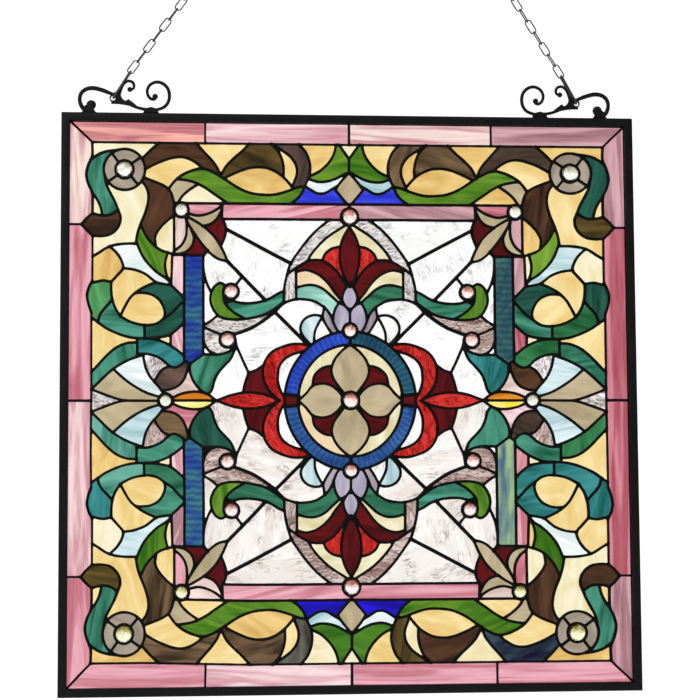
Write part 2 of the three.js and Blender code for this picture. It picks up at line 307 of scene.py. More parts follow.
def bend(*points, half=LINE_HALF):
    quarter_lines.append((half, spline(points)))


def straight(*points, half=LINE_HALF):
    quarter_lines.append((half, list(points)))


def oval(wide, tall, x=0.0, z=0.0):
    steps = max(24, round(pi * (wide + tall) / LINE_STEP))
    turns = [2 * pi * i / steps for i in range(steps + 1)]
    quarter_lines.append((LINE_HALF, [(x + wide * cos(turn), z + tall * sin(turn)) for turn in turns]))


def gem_rim(x, z, radius):
    gem_rims.append((x, z, radius))
    oval(radius, radius, x, z)


# The outer border: its joints and its inner line, which swells outwards twice at the sides and has one dart.
straight((314, 314), (285.5, 285), half=THIN_HALF)
straight((160.5, 314), (160.5, 285), half=THIN_HALF)
straight((314, 194), (296, 194), half=THIN_HALF)
straight((0, 284.7), (285.5, 285), half=THIN_HALF)
bend((285.5, 285), (285.3, 270), (289.7, 259), (291.5, 249), (289.2, 238), (285.3, 229.5), (284.6, 218),
     (284.7, 206))
bend((284.7, 206), (291, 200.5), (296, 194))
bend((296, 194), (290.5, 187), (284.5, 181.5))
straight((284.5, 181.5), (284.5, 132), half=THIN_HALF)
bend((284.5, 132), (288.3, 124), (290, 116), (288.5, 106), (285.3, 97))
straight((285.3, 97), (285, 0), half=THIN_HALF)
# The corner: a wheel round its gem, with four spokes, and the ribbons and leaves that sweep away from it.
oval(22.7, 22.7, 250, 255)
gem_rim(250, 255, 10)
straight((264, 273), (256.5, 263))
straight((232.5, 268.5), (242.5, 261.5))
straight((269.5, 240), (258.5, 248))
straight((235.2, 238.5), (243, 248))
bend((258, 276.4), (267, 275.3), (277, 272.3), (287, 265.5))
bend((285.3, 229.5), (279.5, 221), (276, 213), (274, 204))
bend((271.5, 248), (269.8, 238), (265, 228), (259.5, 217), (257, 209.5))
bend((284.7, 206), (275, 203.7), (266, 204.5), (257, 210))
bend((257, 210), (254.3, 203), (255, 195), (259, 188), (266, 182.8), (275, 181), (284.5, 181.5))
bend((230.8, 267), (221.5, 276.5), (211.5, 285))
bend((231, 242.5), (226.5, 236.5), (223.6, 228), (224, 218), (227, 207), (232, 195), (236, 182), (237, 173))
bend((237, 173), (250, 172.8), (262, 171), (270, 167.8), (277, 163), (284.5, 158.5))
bend((227.4, 255.5), (214, 262.5), (205, 266), (197, 268.5), (189, 269.5), (180, 268), (170, 262.8),
     (163, 257))
bend((229, 246.3), (216, 241.5), (208, 238), (201, 233.5))
bend((201, 233.5), (197, 239.5), (190, 246.7), (182.5, 251.3), (174, 254.7), (165, 256.7), (157, 255.3),
     (148, 251), (140, 246), (125, 236), (112, 230.3), (100, 228.3), (85, 228.3), (70, 232.3), (59, 236.5),
     (50.5, 238))
bend((201, 233.5), (198, 228.5), (195, 218))
bend((196, 204), (205, 196.5), (213, 187), (216, 180), (215, 170.5))
bend((231.8, 193.5), (226, 181.5), (219, 173), (211, 166.5), (196, 161.3))
# The inner border with the flower that opens from its corner gem, and the edges of the blue column.
straight((0, 218), (195, 218), (195, 161))
straight((0, 200.8), (142, 200.8), (141.5, 218))
gem_rim(187, 210.5, 8.3)
bend((141.7, 216), (149, 210.5), (158, 206.3), (168, 204.3), (179.5, 206.5))
bend((142.2, 211), (148, 200.3), (154.5, 195.2), (163, 192.7))
bend((181, 203.5), (170, 197.5), (160, 190.7), (150, 181), (143, 170), (138.3, 160), (136, 154))
bend((182.5, 203.5), (178.5, 194), (172, 184), (163, 172), (155, 163), (146, 156.5), (136, 154))
bend((176.5, 190.5), (173, 180), (175.5, 170.5), (183, 163.8), (195, 161.2))
bend((182, 203), (181, 192), (182, 181), (187, 171.5), (195, 165))
bend((142.2, 201.5), (139, 196), (137.5, 189), (139.3, 180), (143, 171))
straight((195, 161), (162.5, 160.5))
straight((183.7, 160.5), (183.7, 45.5), (177.3, 40.8))
straight((162.5, 160.5), (162.5, 51.5), (177.3, 40.8))
straight((197, 162), (198, 127.3), (183.7, 113.3))
straight((198.5, 73), (198.5, 61))
# The scroll work beside the field, from the corner's ribbons down to the middle line.
bend((236.8, 176), (233.5, 167), (229, 158), (221.5, 148.5), (212, 140), (204, 135), (198, 129))
bend((202, 163.5), (204.9, 151), (203.6, 140), (200, 132))
bend((266, 170), (258, 162.5), (252.8, 154), (251.2, 146), (257, 138.5), (264, 130.5))
bend((264, 130.5), (273, 132), (284.5, 129.5))
bend((251.2, 146), (239, 144.3), (227, 139.7), (214.5, 130.5), (206, 128.5), (198, 127.3))
bend((214.5, 130.5), (225, 126.5), (234, 121.5), (243, 113.5), (249, 103.5), (254, 93))
bend((238, 118.3), (230, 118.8), (221, 117.3), (212, 112), (206.5, 103.5), (204.8, 96), (206, 90.5))
bend((264, 130.5), (264, 122), (262.8, 112), (260, 103), (254, 93))
bend((263.3, 111), (268, 105), (273, 99.5), (276.8, 93), (278, 86.3))
bend((254, 93), (243, 86.9), (232, 83.9), (222, 83.3), (213, 85.5), (206, 90.5), (198, 96), (189.5, 105),
     (183.7, 111))
bend((285, 91.5), (278, 86.3), (270, 80.5), (258, 74.5), (247, 70.7), (236, 69), (227.5, 69), (213, 70),
     (200, 72.8), (190, 80), (183.7, 86.5))
straight((227.5, 83.5), (227.5, 69))
straight((235.5, 69), (235.5, 48.7))
bend((235.5, 64.5), (247, 63.5), (258, 58.8), (268, 50.5), (277, 40.5), (285, 31.5))
bend((285, 12.5), (276, 21.5), (268, 29.5), (261, 35.5), (250, 42.5), (240, 47), (229, 51))
bend((235.5, 51.5), (225, 51.9), (215, 49.3), (207, 44.8), (201, 39.3), (195.5, 36.8), (189, 38.5),
     (183.7, 43))
bend((227.5, 69), (215, 67.7), (205, 64.3), (195, 58.7), (183.7, 50))
bend((229, 51), (226, 36.5), (220, 25), (212, 16), (206, 8))
bend((261.5, 35.2), (248, 23), (236.5, 15), (224, 8.5), (211, 4.5))
bend((285, 12.5), (270, 6.5), (260, 2.8), (250, 0))
bend((200, 37.8), (206, 35.5), (212, 29), (216.5, 20.8))
bend((208, 11.5), (199, 12.3), (190.5, 16), (184.5, 22.5), (181, 31), (178.5, 40.5))
bend((177.3, 40.8), (177, 31), (172.5, 20), (166, 12), (159, 7.5))
bend((196.5, 3), (187, 7.3), (172, 9.7), (159, 7.5), (148, 0))
# The field's side: two gems, each in the curl of a scroll, and the bands of red and white round the middle.
gem_rim(132, 120.5, 8.6)
gem_rim(136, 67.5, 8.6)
bend((126.5, 61), (134, 54.5), (143.5, 51.5), (154, 51.3), (162.5, 51.5))
bend((157, 7), (153, 12), (150.5, 21), (146.5, 30), (139.5, 38.5), (132, 47), (126.5, 61))
bend((127.5, 68.5), (126, 60.5), (122.3, 52), (118, 42), (112.8, 31))
bend((112.8, 31), (116.5, 20), (119, 9))
bend((112.8, 31), (104.5, 34), (95.5, 40.5))
bend((148, 0), (133, 5.8), (120, 8.6), (108, 8.8), (95, 6.5), (79, 0))
bend((47, 61.5), (56, 63), (64, 63), (76, 59.8), (88, 53.5), (95.3, 43), (97.2, 33), (96.2, 23),
     (91.5, 12.5), (85, 5), (79, 0))
bend((50, 56.5), (58, 53.7), (66, 51), (74, 45.8), (79.3, 38), (80.9, 29), (80.6, 19.5), (77.3, 9.5),
     (73.5, 3))
straight((72.8, 6.8), (58.3, 5.2), half=HEAVY_HALF)
# The field: its heavy diagonals, the great scroll across them, and the medallion of ribbons above the ring.
straight((138, 190), (66, 151.8), half=HEAVY_HALF)
straight((136, 154), (119.5, 137), (107, 124), (94.5, 111), half=HEAVY_HALF)
straight((84, 98), (47, 61.5), half=HEAVY_HALF)
straight((120.5, 136), (127, 127.5))
bend((137.5, 127), (143.5, 130), (149.5, 126.7), (153.8, 118.5), (154.6, 110), (151.3, 100.5), (144.8, 93),
     (136, 90.3), (125, 89.8), (115, 90.7), (105, 92.5), (95, 95.5), (85, 101.3), (74.2, 109.5))
bend((154, 120), (158, 128.5), (161, 137.5), (162.5, 146))
bend((140.2, 118), (139.3, 109.5), (135, 103), (128, 97), (118, 91.5))
bend((138.3, 107.5), (131, 110), (122, 108), (110, 107.8), (100, 109.3), (90, 112.8), (80, 118.8),
     (73.8, 121.5))
bend((146.8, 94), (150.5, 91), (155, 87.5), (162.5, 83))
bend((162.5, 81.5), (155, 78), (148.5, 75.3), (142.5, 73.3))
bend((129.5, 73.2), (118, 77.3), (108, 81.5), (96, 89), (84, 98), half=HEAVY_HALF)
bend((148, 51.3), (155, 54.5), (160, 60.5), (162.5, 68))
bend((31.5, 93), (35, 94.5), (42, 94.8), (50.5, 91.3), (55.3, 84.5), (55.7, 77), (51.5, 69.8), (44, 62))
bend((31.5, 93), (37, 83.5), (40, 76), (40.7, 64.5))
bend((31.5, 93), (29.3, 88), (25.5, 81.5), (20.5, 74))
bend((29.5, 104), (26, 100.5), (22, 94.7), (19.3, 88), (15.5, 79.5), (12.5, 76))
bend((31.5, 93), (30.3, 98), (29.5, 104))
bend((19.3, 88), (18.5, 96), (16, 103), (12.5, 108.5))
bend((84, 98), (73, 108.3), (60.5, 112.2), (50, 112), (40, 110), (29.5, 104))
bend((60.5, 125), (50, 127.8), (40, 127.8), (30, 123.7), (21, 116), (12.5, 108.5))
straight((60.5, 112), (60.5, 147))
bend((22, 200.8), (35, 191), (48, 177.7), (60, 161.7), (66.5, 151.5), (70.5, 139), (73.5, 125), (74.5, 109.5))
bend((5, 194.5), (25, 181.5), (38, 169), (45, 160), (48, 154))
bend((70.3, 139.5), (60.5, 147), (48, 154.3), (40, 156), (31, 155.7))
bend((31, 155.7), (28, 162.5), (20.5, 168.5), (11.3, 171))
bend((31, 155.7), (20.5, 149), (12, 140), (5.5, 129.5), (3.5, 126.3))
bend((0, 193), (6, 183.5), (10, 173), (11.3, 163), (10.6, 152), (7.3, 140), (3, 130.5), (0, 126))
bend((60.5, 142.5), (51, 144.7), (42, 143), (32.5, 137.7), (24, 129.6), (17, 120), (8.7, 110))
bend((0, 131.5), (4.5, 125), (7.8, 118), (8.5, 111.5), (6, 106))
bend((12.5, 108.5), (7, 106.2), (2.5, 102), (0, 98))
gem_rim(0, 77.5, 8.3)
gem_rim(0, 204, 9.8)
gem_rim(204, 0, 8.1)
# The scroll work above the field: curved wedges that hang from the border, over leaves and ribbons.
bend((170.5, 285), (161, 274.5), (153.5, 266.5), (147.5, 258.5), (143.5, 248.3))
bend((111.5, 285), (122, 274.5), (130, 267.5), (137.5, 259.5), (143.5, 248.3))
bend((192, 244.8), (183, 243.7), (172, 241.2), (160, 235.2), (150, 228.2), (140, 221.3), (135, 218))
bend((191, 218), (186, 225.7), (178, 233), (168.5, 239.3))
bend((140, 246), (128, 251.8), (115, 257), (103, 259), (90, 257.3), (77, 250.5), (65.5, 238.5), (63.5, 235))
bend((50.5, 238), (54.3, 229.5), (60, 223), (67, 218))
bend((87.5, 285), (80, 277), (75.8, 268), (73.8, 258), (74, 248.5))
bend((87.5, 285), (75.5, 277.8), (66, 270.5), (60, 261), (59.3, 251), (62.5, 242), (64.3, 236))
bend((57, 285), (50, 277), (45.8, 268), (44.2, 258), (45.8, 248.5), (50.5, 238))
bend((14.5, 285), (17, 275), (21, 267.5), (27.5, 260), (35.5, 253.7), (45.3, 249))
bend((11.5, 285), (5.5, 276.5), (0, 269))
bend((0, 254.5), (6, 251.5), (16, 246.3), (26, 243.4), (36, 243), (47, 246.3))
bend((50.5, 238.5), (44, 234), (36, 230), (28, 230.3), (19, 235.5), (13, 238.7))
bend((0, 253.5), (7, 246), (12, 240), (15.8, 234))
bend((15.8, 234), (9.5, 226.5), (2, 218))
# The rosette's petals, inside the ring.
bend((58.5, 0), (50.5, 7.5), (42.5, 16.5), (32, 19), (22, 16.8), (13.5, 10.5), (8.8, 4.5))
bend((0, 62.5), (10, 55), (18, 45), (21.3, 34), (19.3, 25), (14.5, 17.5), (6.5, 7.3))
bend((20.8, 38.5), (27, 38), (33.5, 35), (40.5, 28), (43.2, 16))
# The stub that ties the blue column's corner to the flower.
straight((162.5, 160.5), (157.8, 166), half=HEAVY_HALF)

# The lines that lie on the middle of the panel, and the ring round the rosette.
straight((0, 314), (0, 284.7))
straight((0, 269), (0, 253))
straight((0, 218), (0, 213))
straight((0, 102), (0, 85))
straight((0, 69.5), (0, 62.2), half=HEAVY_HALF)
straight((314, 0), (285, 0))
straight((252, 0), (211, 0))
straight((196, 0), (148, 0))
oval(73.5, 77)
oval(58.7, 62.2)
gem_rim(0, 0, 9.8)


# ---------------------------------------------------------------------------------------------------------
# The solder. Every piece of glass is edged with copper foil, and a rounded bead of solder, black with
# patina, is run along each seam on both faces. It spreads where seams meet and fills their sharp corners.

GRID = 1.0  # spacing of the points where the distance to the nearest line is worked out
REACH = 6.0  # no line is looked at from further off than this
MELT = 3.0  # how sharply two beads keep apart where they meet
GLASS_HALF_THICK = 1.5
BEAD_HEIGHT = 0.95
BEAD_FOOT = 0.18  # how far a bead's edge stands off the glass
SHOULDER = 0.65  # how far in from a bead's edge its crown begins
HEIGHT_WAVER = 0.07  # how uneven a bead's height is, as a share of it
LEAST_GLASS = 14.0  # a gap smaller than this many square millimetres fills with solder
GAP_CELLS = 14  # how many grid cells across such a gap is looked for
FILLED = -0.9  # how deep in solder such a gap is then taken to be
CLOSE_ENOUGH = 0.045  # how far an outline may pass from the points left out of it
LONGEST_RUN = 14  # and how many steps of it one straight run may cover
ENDS_MEET = 0.3  # ends closer than this are one point
EDGE_WAVER = 0.16  # how uneven a bead's width is, over the longer distance and the shorter one
FINE_WAVER = 0.1

cells = ceil((HALF + 1) / GRID)
steps_out = np.arange(-cells, cells + 1) * GRID
PLACE_X, PLACE_Z = np.meshgrid(steps_out, steps_out, indexing="ij")


def rough(x, z, length, seed):
    """A gentle unevenness from -1 to 1 with bumps about this long, the same every time."""
    draw = np.random.default_rng(seed)
    total = 0
    for _ in range(6):
        way = draw.uniform(0, 2 * pi)
        wave = length * draw.uniform(0.7, 1.5)
        total = total + np.sin((x * cos(way) + z * sin(way)) * 2 * pi / wave + draw.uniform(0, 2 * pi))
    return total / 6


def distance_to(line, x, z):
    """How far places are from the nearest part of a line."""
    nearest = np.full(x.shape, 1e3)
    for (ax, az), (bx, bz) in zip(line, line[1:]):
        dx, dz = bx - ax, bz - az
        share = np.clip(((x - ax) * dx + (z - az) * dz) / (dx * dx + dz * dz + 1e-9), 0, 1)
        nearest = np.minimum(nearest, np.hypot(x - ax - share * dx, z - az - share * dz))
    return nearest


def quarter_field():
    """How far each point of one quarter is outside the solder; less than nothing is inside it."""
    u, v = np.meshgrid(steps_out[cells:], steps_out[cells:], indexing="ij")
    meeting = np.full(u.shape, 1e-9)
    for half, line in quarter_lines:
        near = []
        for along in zip(*line):
            first = max(0, int((min(along) - REACH) / GRID))
            near.append(slice(first, int((max(along) + REACH) / GRID) + 1))
        part = tuple(near)
        meeting[part] += np.exp(-MELT * (distance_to(line, u[part], v[part]) - half))
    return -np.log(meeting) / MELT


def crossings(field, level):
    """Closed lines where a field passes a level, with the higher ground on their left."""
    above = field > level
    ways = {}
    points = {}

    def cut(i, j, k, m):
        """Where the level is passed between two grid points, kept under the same name from both sides."""
        key = (i, j, k, m) if (i, j) < (k, m) else (k, m, i, j)
        if key not in points:
            i, j, k, m = key
            share = (level - field[i, j]) / (field[k, m] - field[i, j])
            points[key] = (steps_out[i] + (k - i) * share * GRID, steps_out[j] + (m - j) * share * GRID)
        return key

    mixed = above[:-1, :-1].astype(int) + above[1:, :-1] + above[1:, 1:] + above[:-1, 1:]
    for i, j in zip(*np.nonzero((mixed > 0) & (mixed < 4))):
        corners = [(i, j), (i + 1, j), (i + 1, j + 1), (i, j + 1)]
        high = [above[c] for c in corners]
        leaving = [k for k in range(4) if high[k] and not high[(k + 1) % 4]]
        entering = [k for k in range(4) if not high[k] and high[(k + 1) % 4]]
        saddle_above = len(leaving) == 2 and sum(field[c] for c in corners) / 4 > level
        for k in leaving:
            ahead = [(k + 1 + n) % 4 for n in range(4) if (k + 1 + n) % 4 in entering]
            partner = ahead[0] if saddle_above else ahead[-1]
            start = cut(*corners[k], *corners[(k + 1) % 4])
            ways[start] = cut(*corners[partner], *corners[(partner + 1) % 4])
    loops = []
    while ways:
        start, at = ways.popitem()
        loop = [points[start]]
        while at != start:
            loop.append(points[at])
            at = ways.pop(at)
        loops.append(loop)
    return loops


def simplified(loop):
    """The loop with every point left out that the straight run between its neighbours passes close to."""
    kept = [loop[0]]
    first = 0
    while first < len(loop) - 1:
        last = first + 1
        while last + 1 < len(loop) and last - first < LONGEST_RUN and straight_enough(loop[first:last + 2]):
            last += 1
        kept.append(loop[last])
        first = last
    apart = hypot(kept[0][0] - kept[-1][0], kept[0][1] - kept[-1][1])
    return kept[:-1] if apart < ENDS_MEET else kept


def straight_enough(run):
    """Whether the points between a run's ends lie close to the straight line from end to end."""
    (ax, az), (bx, bz) = run[0], run[-1]
    length = hypot(bx - ax, bz - az) + 1e-9
    return all(abs((x - ax) * (bz - az) - (z - az) * (bx - ax)) / length < CLOSE_ENOUGH for x, z in run[1:-1])


def area(loop):
    """A loop's area, less than nothing if it goes round the other way."""
    return sum(a[0] * b[1] - b[0] * a[1] for a, b in zip(loop, loop[1:] + loop[:1])) / 2


def open_edges(faces):
    """The edges with a face on one side only, each the way round that its face takes it."""
    known = {(a, b) for face in faces for a, b in zip(face, [*face[1:], face[0]])}
    return [(a, b) for a, b in known if (b, a) not in known]


def plate(faces, count):
    """A plate's faces: these in front, the same behind on as many points again, and walls round its edges."""
    behind = [[k + count for k in reversed(face)] for face in faces]
    return [*faces, *behind, *[(b, a, a + count, b + count) for a, b in open_edges(faces)]]


def inside(loop, x, z):
    """Whether a point, or each of many, is inside a loop."""
    within = np.zeros(np.shape(x), bool)
    for (ax, az), (bx, bz) in zip(loop, loop[1:] + loop[:1]):
        if az != bz:
            within ^= ((az > z) != (bz > z)) & (x < (bx - ax) * (z - az) / (bz - az) + ax)
    return within


SHIFT_LEFT = 1.3  # of the work's middle. It is twice this on the right, and nothing on the left
SHIFT_UP = 0.8  # of the work's middle. It is twice this at the bottom, and nothing at the top
DRAWN_IN = 1.5  # of the scroll work at the sides, towards the middle
LOW_LEFT_SHIFT = (1.2, 3.4)  # to the right and up, of the lower left part only
WAVER = 0.25  # how far lines stray from true, in waves about this long
WAVER_LENGTH = 70
HELD_AT = 285  # out from the middle: the outer border's inner line, where the first two end
EDGE_AT = 310  # close to the glass's edge, under the frame's lip


def part_way(distance, full):
    """A distance as a share of a full one, held between 0 and 1."""
    return np.clip(distance / full, 0, 1)


def set_by_hand(x, z):
    """The work as it was really laid: its inner parts a little off the middle, its lines not quite true."""
    # The second number in each part_way is the distance over which a shift comes in or dies away.
    loose_x, loose_z = (part_way(HELD_AT - abs(side), 45) for side in (x, z))
    grip_x, grip_z = (part_way(abs(side), 50) for side in (x, z))
    low_left = part_way(-60 - z, 60) * part_way(-110 - x, 120) * part_way(EDGE_AT + z, 20)
    drawn = DRAWN_IN * part_way(abs(x) - 150, 100) * part_way(EDGE_AT - abs(x), 20)
    right, up = LOW_LEFT_SHIFT
    x_moved = (x - drawn * np.sign(x) + right * low_left - SHIFT_LEFT * loose_x * (1 + grip_x * np.sign(x))
               + WAVER * loose_x * rough(x, z, WAVER_LENGTH, 11))
    z_moved = (z + SHIFT_UP * loose_z * (1 - grip_z * np.sign(z))
               + WAVER * loose_z * rough(x, z, WAVER_LENGTH, 12) + up * low_left)
    return x_moved, z_moved


# The quarter is mirrored twice, the gems are cleared of solder, and the beads' edges are made a little
# uneven. Then the gaps that are too small for glass are filled.
one = quarter_field()
half_field = np.concatenate([one[:0:-1], one])
solder = np.concatenate([half_field[:, :0:-1], half_field], axis=1)
for u, v, radius in gem_rims:
    solder = np.maximum(solder, radius - LINE_HALF - np.hypot(abs(PLACE_X) - u, abs(PLACE_Z) - v))
solder += EDGE_WAVER * rough(PLACE_X, PLACE_Z, 16, 1) + FINE_WAVER * rough(PLACE_X, PLACE_Z, 7, 2)
for loop in crossings(solder, 0.0):
    if 0 < area(loop) < LEAST_GLASS:
        low_i, low_j = (int(min(p[k] for p in loop) / GRID) + cells for k in (0, 1))
        part = np.s_[low_i - 1:low_i + GAP_CELLS, low_j - 1:low_j + GAP_CELLS]
        solder[part][inside(loop, PLACE_X[part], PLACE_Z[part])] = FILLED
past_edge = np.maximum(abs(PLACE_X), abs(PLACE_Z)) - GLASS_EDGE


def spot(field, x, z):
    """A field's value at points between its grid points."""
    i = np.clip((x + cells * GRID) / GRID, 0, 2 * cells - 1e-6)
    j = np.clip((z + cells * GRID) / GRID, 0, 2 * cells - 1e-6)
    i0, j0 = i.astype(int), j.astype(int)
    di, dj = i - i0, j - j0
    near = field[i0, j0] * (1 - di) + field[i0 + 1, j0] * di
    far = field[i0, j0 + 1] * (1 - di) + field[i0 + 1, j0 + 1] * di
    return near * (1 - dj) + far * dj


def bead_height(depth):
    """How far a bead stands off the glass, this far in from its edge."""
    rise = np.clip(depth / LINE_HALF, 0, 1)
    return BEAD_FOOT + (BEAD_HEIGHT - BEAD_FOOT) * np.sqrt(1 - (1 - rise) ** 2)


def solder_web():
    """Both faces' beads, joined through the seams, as points in metres and faces."""
    web = np.maximum(solder, past_edge)
    points = []
    edges = []
    for level in (0.0, -SHOULDER):
        for loop in crossings(web, level):
            if abs(area(loop)) > 1:
                loop = simplified(loop)
                start = len(points)
                points += [Vector(p) for p in loop]
                edges += [(start + i, start + (i + 1) % len(loop)) for i in range(len(loop))]
    flat, _, faces = geometry.delaunay_2d_cdt(points, edges, [], 0, 1e-6)[:3]
    flat = np.array([(p.x, p.y) for p in flat])
    faces = np.array(faces)
    middles = flat[faces].mean(1)
    faces = faces[spot(web, middles[:, 0], middles[:, 1]) < 0].tolist()
    depth = np.clip(-spot(web, flat[:, 0], flat[:, 1]), 0, None)
    depth[[k for edge in open_edges(faces) for k in edge]] = 0
    height = GLASS_HALF_THICK + bead_height(depth) * (1 + HEIGHT_WAVER * rough(flat[:, 0], flat[:, 1], 9, 3))
    x, z = set_by_hand(flat[:, 0], flat[:, 1])
    both = np.concatenate([np.stack([x, -height, z], 1), np.stack([x, height, z], 1)])
    return both * MM + np.array(PANEL_MID), plate(faces, len(flat))


patina = metal("solder with black patina", linear(3, 3, 3), linear(22, 20, 19), 0.7, 0.36, 500.0, 0.00008)
web_points, web_faces = solder_web()
piece("solder_web", web_points, web_faces, [patina], ["lead_work"], crease=50)


# ---------------------------------------------------------------------------------------------------------
# The glass. About 400 pieces of 3 mm art glass, each cut from its own part of a sheet, so that its streaks
# run its own way. Their edges are tucked under the solder. The gems are pressed, faceted and clear.

TUCK = 0.35  # how far glass reaches under the beads
GEM_RISE = 3.4
GEM_SIDES = 12
GEM_EDGE = 0.6  # half the thickness of its rim
GEM_ROWS = (  # from the front table to the back one: share of the radius, how far back, facets turned
    (0.5, -GEM_RISE, 0.0), (0.82, -GEM_RISE * 0.72, 0.5), (1.0, -GEM_EDGE, 0.0), (1.0, GEM_EDGE, 0.0),
    (0.6, GEM_RISE * 0.6, 0.0),
)

glass_kinds = {}


def clear(shader, colour, roughness, height, depth):
    """What all the glass shares: light goes through it, takes its colour, and is bent by its surface."""
    return shader.finished({
        "Base Color": colour,
        "Roughness": roughness,
        "Transmission Weight": 1.0,
        "IOR": 1.5,
        "Normal": shader.bump(height, depth),
    })


def art_glass(name, deep, pale, streak=(9, 45), softness=0.24, ripple=0.00012, ribs=0.0, ripple_shade=None, fine=1.0,
              cover=(0.46, 0.64)):
    """Glass streaked in two screen colours, its streaks this fine along and across the sheet.

    Softness is how gently one colour passes into the other, and ripple how deep the surface's unevenness is.
    Ripple shade is painted shade: thin strokes of a third colour over part of it, for light that the ripples
    bend.
    Ribs are pressed lines, this close together, with painted shade along them.
    Each place in the sheet and each piece's tone are given by the mesh.
    """
    shader = Shader(bpy.data.materials.new(f"{name} glass"))
    sheet = shader.attribute("sheet", "Vector")
    tone = shader.attribute("tone", "Fac")
    cloud = shader.noise(shader.stretched(sheet, (*streak, 20)), 1.0, 5.0, 1.4)
    wisp = shader.noise(shader.stretched(sheet, (streak[0] * 2.5, streak[1] * 4, 50)), 1.0, 3.0, 1.0)
    streaks = cloud.spread(0.5 - softness / 2, 0.5 + softness / 2) * 0.6 + wisp.spread(0.35, 0.65) * 0.25
    colour = shader.mix((streaks + tone * 0.2).spread(0.05, 0.95), linear(*deep), linear(*pale))
    swell = shader.noise(sheet, 55.0, 2.0, 0.4)
    height = swell
    if ripple_shade:
        # Painted shade: dark strokes over part of the glass where its ripples rise, for light that the
        # ripples bend.
        strokes = shader.noise(shader.stretched(sheet, (40 * fine, 140 * fine, 20)), 1.0, 3.0, 1.5)
        thin = (strokes - 0.5).size().spread(0.06, 0.0)
        patch = shader.noise(sheet, 50.0 * fine, 3.0).spread(*cover)
        colour = shader.mix(thin * patch * 0.9, colour, linear(*ripple_shade))
        height = swell + strokes
    if ribs:
        wobble = shader.noise(shader.stretched(sheet, (60, 160, 20)), 1.0, 2.0)
        rib = (shader.part_of(sheet, "X") * ribs + wobble * 7.0).sine() * 0.5 + 0.5
        # Painted shade: a darker copy of the deep colour along the ribs, for light that the ribs bend.
        colour = shader.mix(rib * 0.5, colour, linear(*[part * 0.55 for part in deep]))
        height = swell + rib * 0.5
    glass_kinds[name] = clear(shader, colour, 0.08 + swell * 0.1, height, ripple)


SOFT = (14, 30)  # cloudy, with hardly any grain
WISPY = (5, 60)  # long fine streaks

for name, deep, pale in (
    ("cream", (230, 214, 158), (250, 243, 214)), ("honey", (229, 194, 114), (250, 229, 170)),
    ("amber", (208, 166, 88), (244, 212, 138)), ("straw", (212, 198, 144), (246, 240, 210)),
    ("peach", (222, 196, 150), (248, 225, 190)), ("stone", (162, 148, 116), (201, 184, 150)),
):
    art_glass(name, deep, pale, SOFT)
for name, deep, pale in (
    ("brown", (30, 14, 6), (94, 62, 40)), ("umber", (38, 24, 12), (130, 104, 74)),
    ("olive", (34, 22, 10), (104, 86, 38)), ("plum", (36, 28, 26), (108, 84, 74)),
    ("slate", (8, 8, 6), (112, 108, 100)), ("navy", (2, 2, 40), (64, 84, 96)),
    ("leaf", (32, 92, 0), (110, 154, 46)), ("lime", (90, 134, 26), (130, 168, 60)),
    ("emerald", (46, 108, 56), (96, 170, 104)), ("green", (4, 70, 30), (62, 140, 88)),
    ("teal", (8, 80, 52), (82, 160, 136)), ("deep_teal", (0, 32, 24), (38, 98, 80)),
    ("sea", (4, 82, 76), (66, 152, 154)), ("aqua", (76, 156, 134), (184, 234, 220)),
    ("sky", (142, 186, 192), (226, 242, 246)), ("ice", (198, 216, 216), (250, 254, 254)),
    ("royal", (30, 40, 184), (64, 76, 238)), ("ultramarine", (14, 2, 134), (36, 22, 226)),
    ("lavender", (144, 140, 164), (198, 188, 206)), ("mist", (122, 104, 120), (182, 174, 180)),
    ("shell", (198, 172, 162), (250, 227, 220)), ("wine", (46, 0, 2), (104, 12, 18)),
    ("pine", (8, 70, 46), (60, 130, 100)), ("grass", (30, 88, 4), (80, 134, 36)),
    ("bark", (24, 16, 12), (86, 68, 54)), ("ash", (138, 124, 108), (180, 166, 150)),
    ("flame", (186, 86, 0), (230, 150, 44)), ("lemon", (240, 222, 50), (255, 254, 180)),
):
    art_glass(name, deep, pale)
for name, deep, pale in (
    ("rose", (188, 104, 118), (238, 176, 190)), ("deep_rose", (162, 68, 82), (220, 142, 156)),
    ("coral", (160, 74, 98), (252, 182, 170)), ("mauve", (152, 104, 112), (218, 172, 180)),
    ("blush", (200, 130, 144), (250, 222, 224)), ("pearl", (192, 122, 134), (252, 232, 222)),
):
    art_glass(name, deep, pale, WISPY, 0.14)
art_glass("azure", (16, 30, 164), (62, 128, 132), (26, 10), 0.2, 0.0003, 900.0)
art_glass("peacock", (28, 74, 92), (84, 132, 122), SOFT, 0.2, 0.0003, 900.0)
art_glass("lagoon", (4, 60, 128), (158, 190, 138), (10, 40), 0.16)
art_glass("cobalt", (24, 62, 124), (62, 112, 184), SOFT, 0.24, 0.0003, 1100.0)
art_glass("sapphire", (24, 50, 164), (52, 92, 222), SOFT, 0.24, 0.0003, 1100.0)
art_glass("ink", (14, 56, 84), (44, 104, 128), SOFT, 0.24, 0.0003, 1100.0)
art_glass("jade", (38, 110, 92), (112, 182, 162))
art_glass("red", (164, 2, 2), (236, 58, 52), ripple=0.0006, ripple_shade=(70, 0, 4), fine=1.3, cover=(0.2, 0.4))
art_glass("white", (244, 244, 243), (255, 255, 255), ripple=0.0004, ripple_shade=(112, 110, 112), fine=0.9,
          cover=(0.5, 0.7))
art_glass("warm_white", (230, 220, 212), (254, 251, 247), ripple=0.0004, ripple_shade=(124, 100, 92), fine=0.9,
          cover=(0.46, 0.68))
art_glass("seedy", (196, 186, 182), (252, 248, 246), ripple=0.0008, ripple_shade=(40, 28, 26), fine=1.3,
          cover=(0.25, 0.45))
art_glass("mulberry", (138, 100, 88), (236, 218, 210), ripple=0.0008, ripple_shade=(52, 18, 16), fine=1.3,
          cover=(0.22, 0.42))


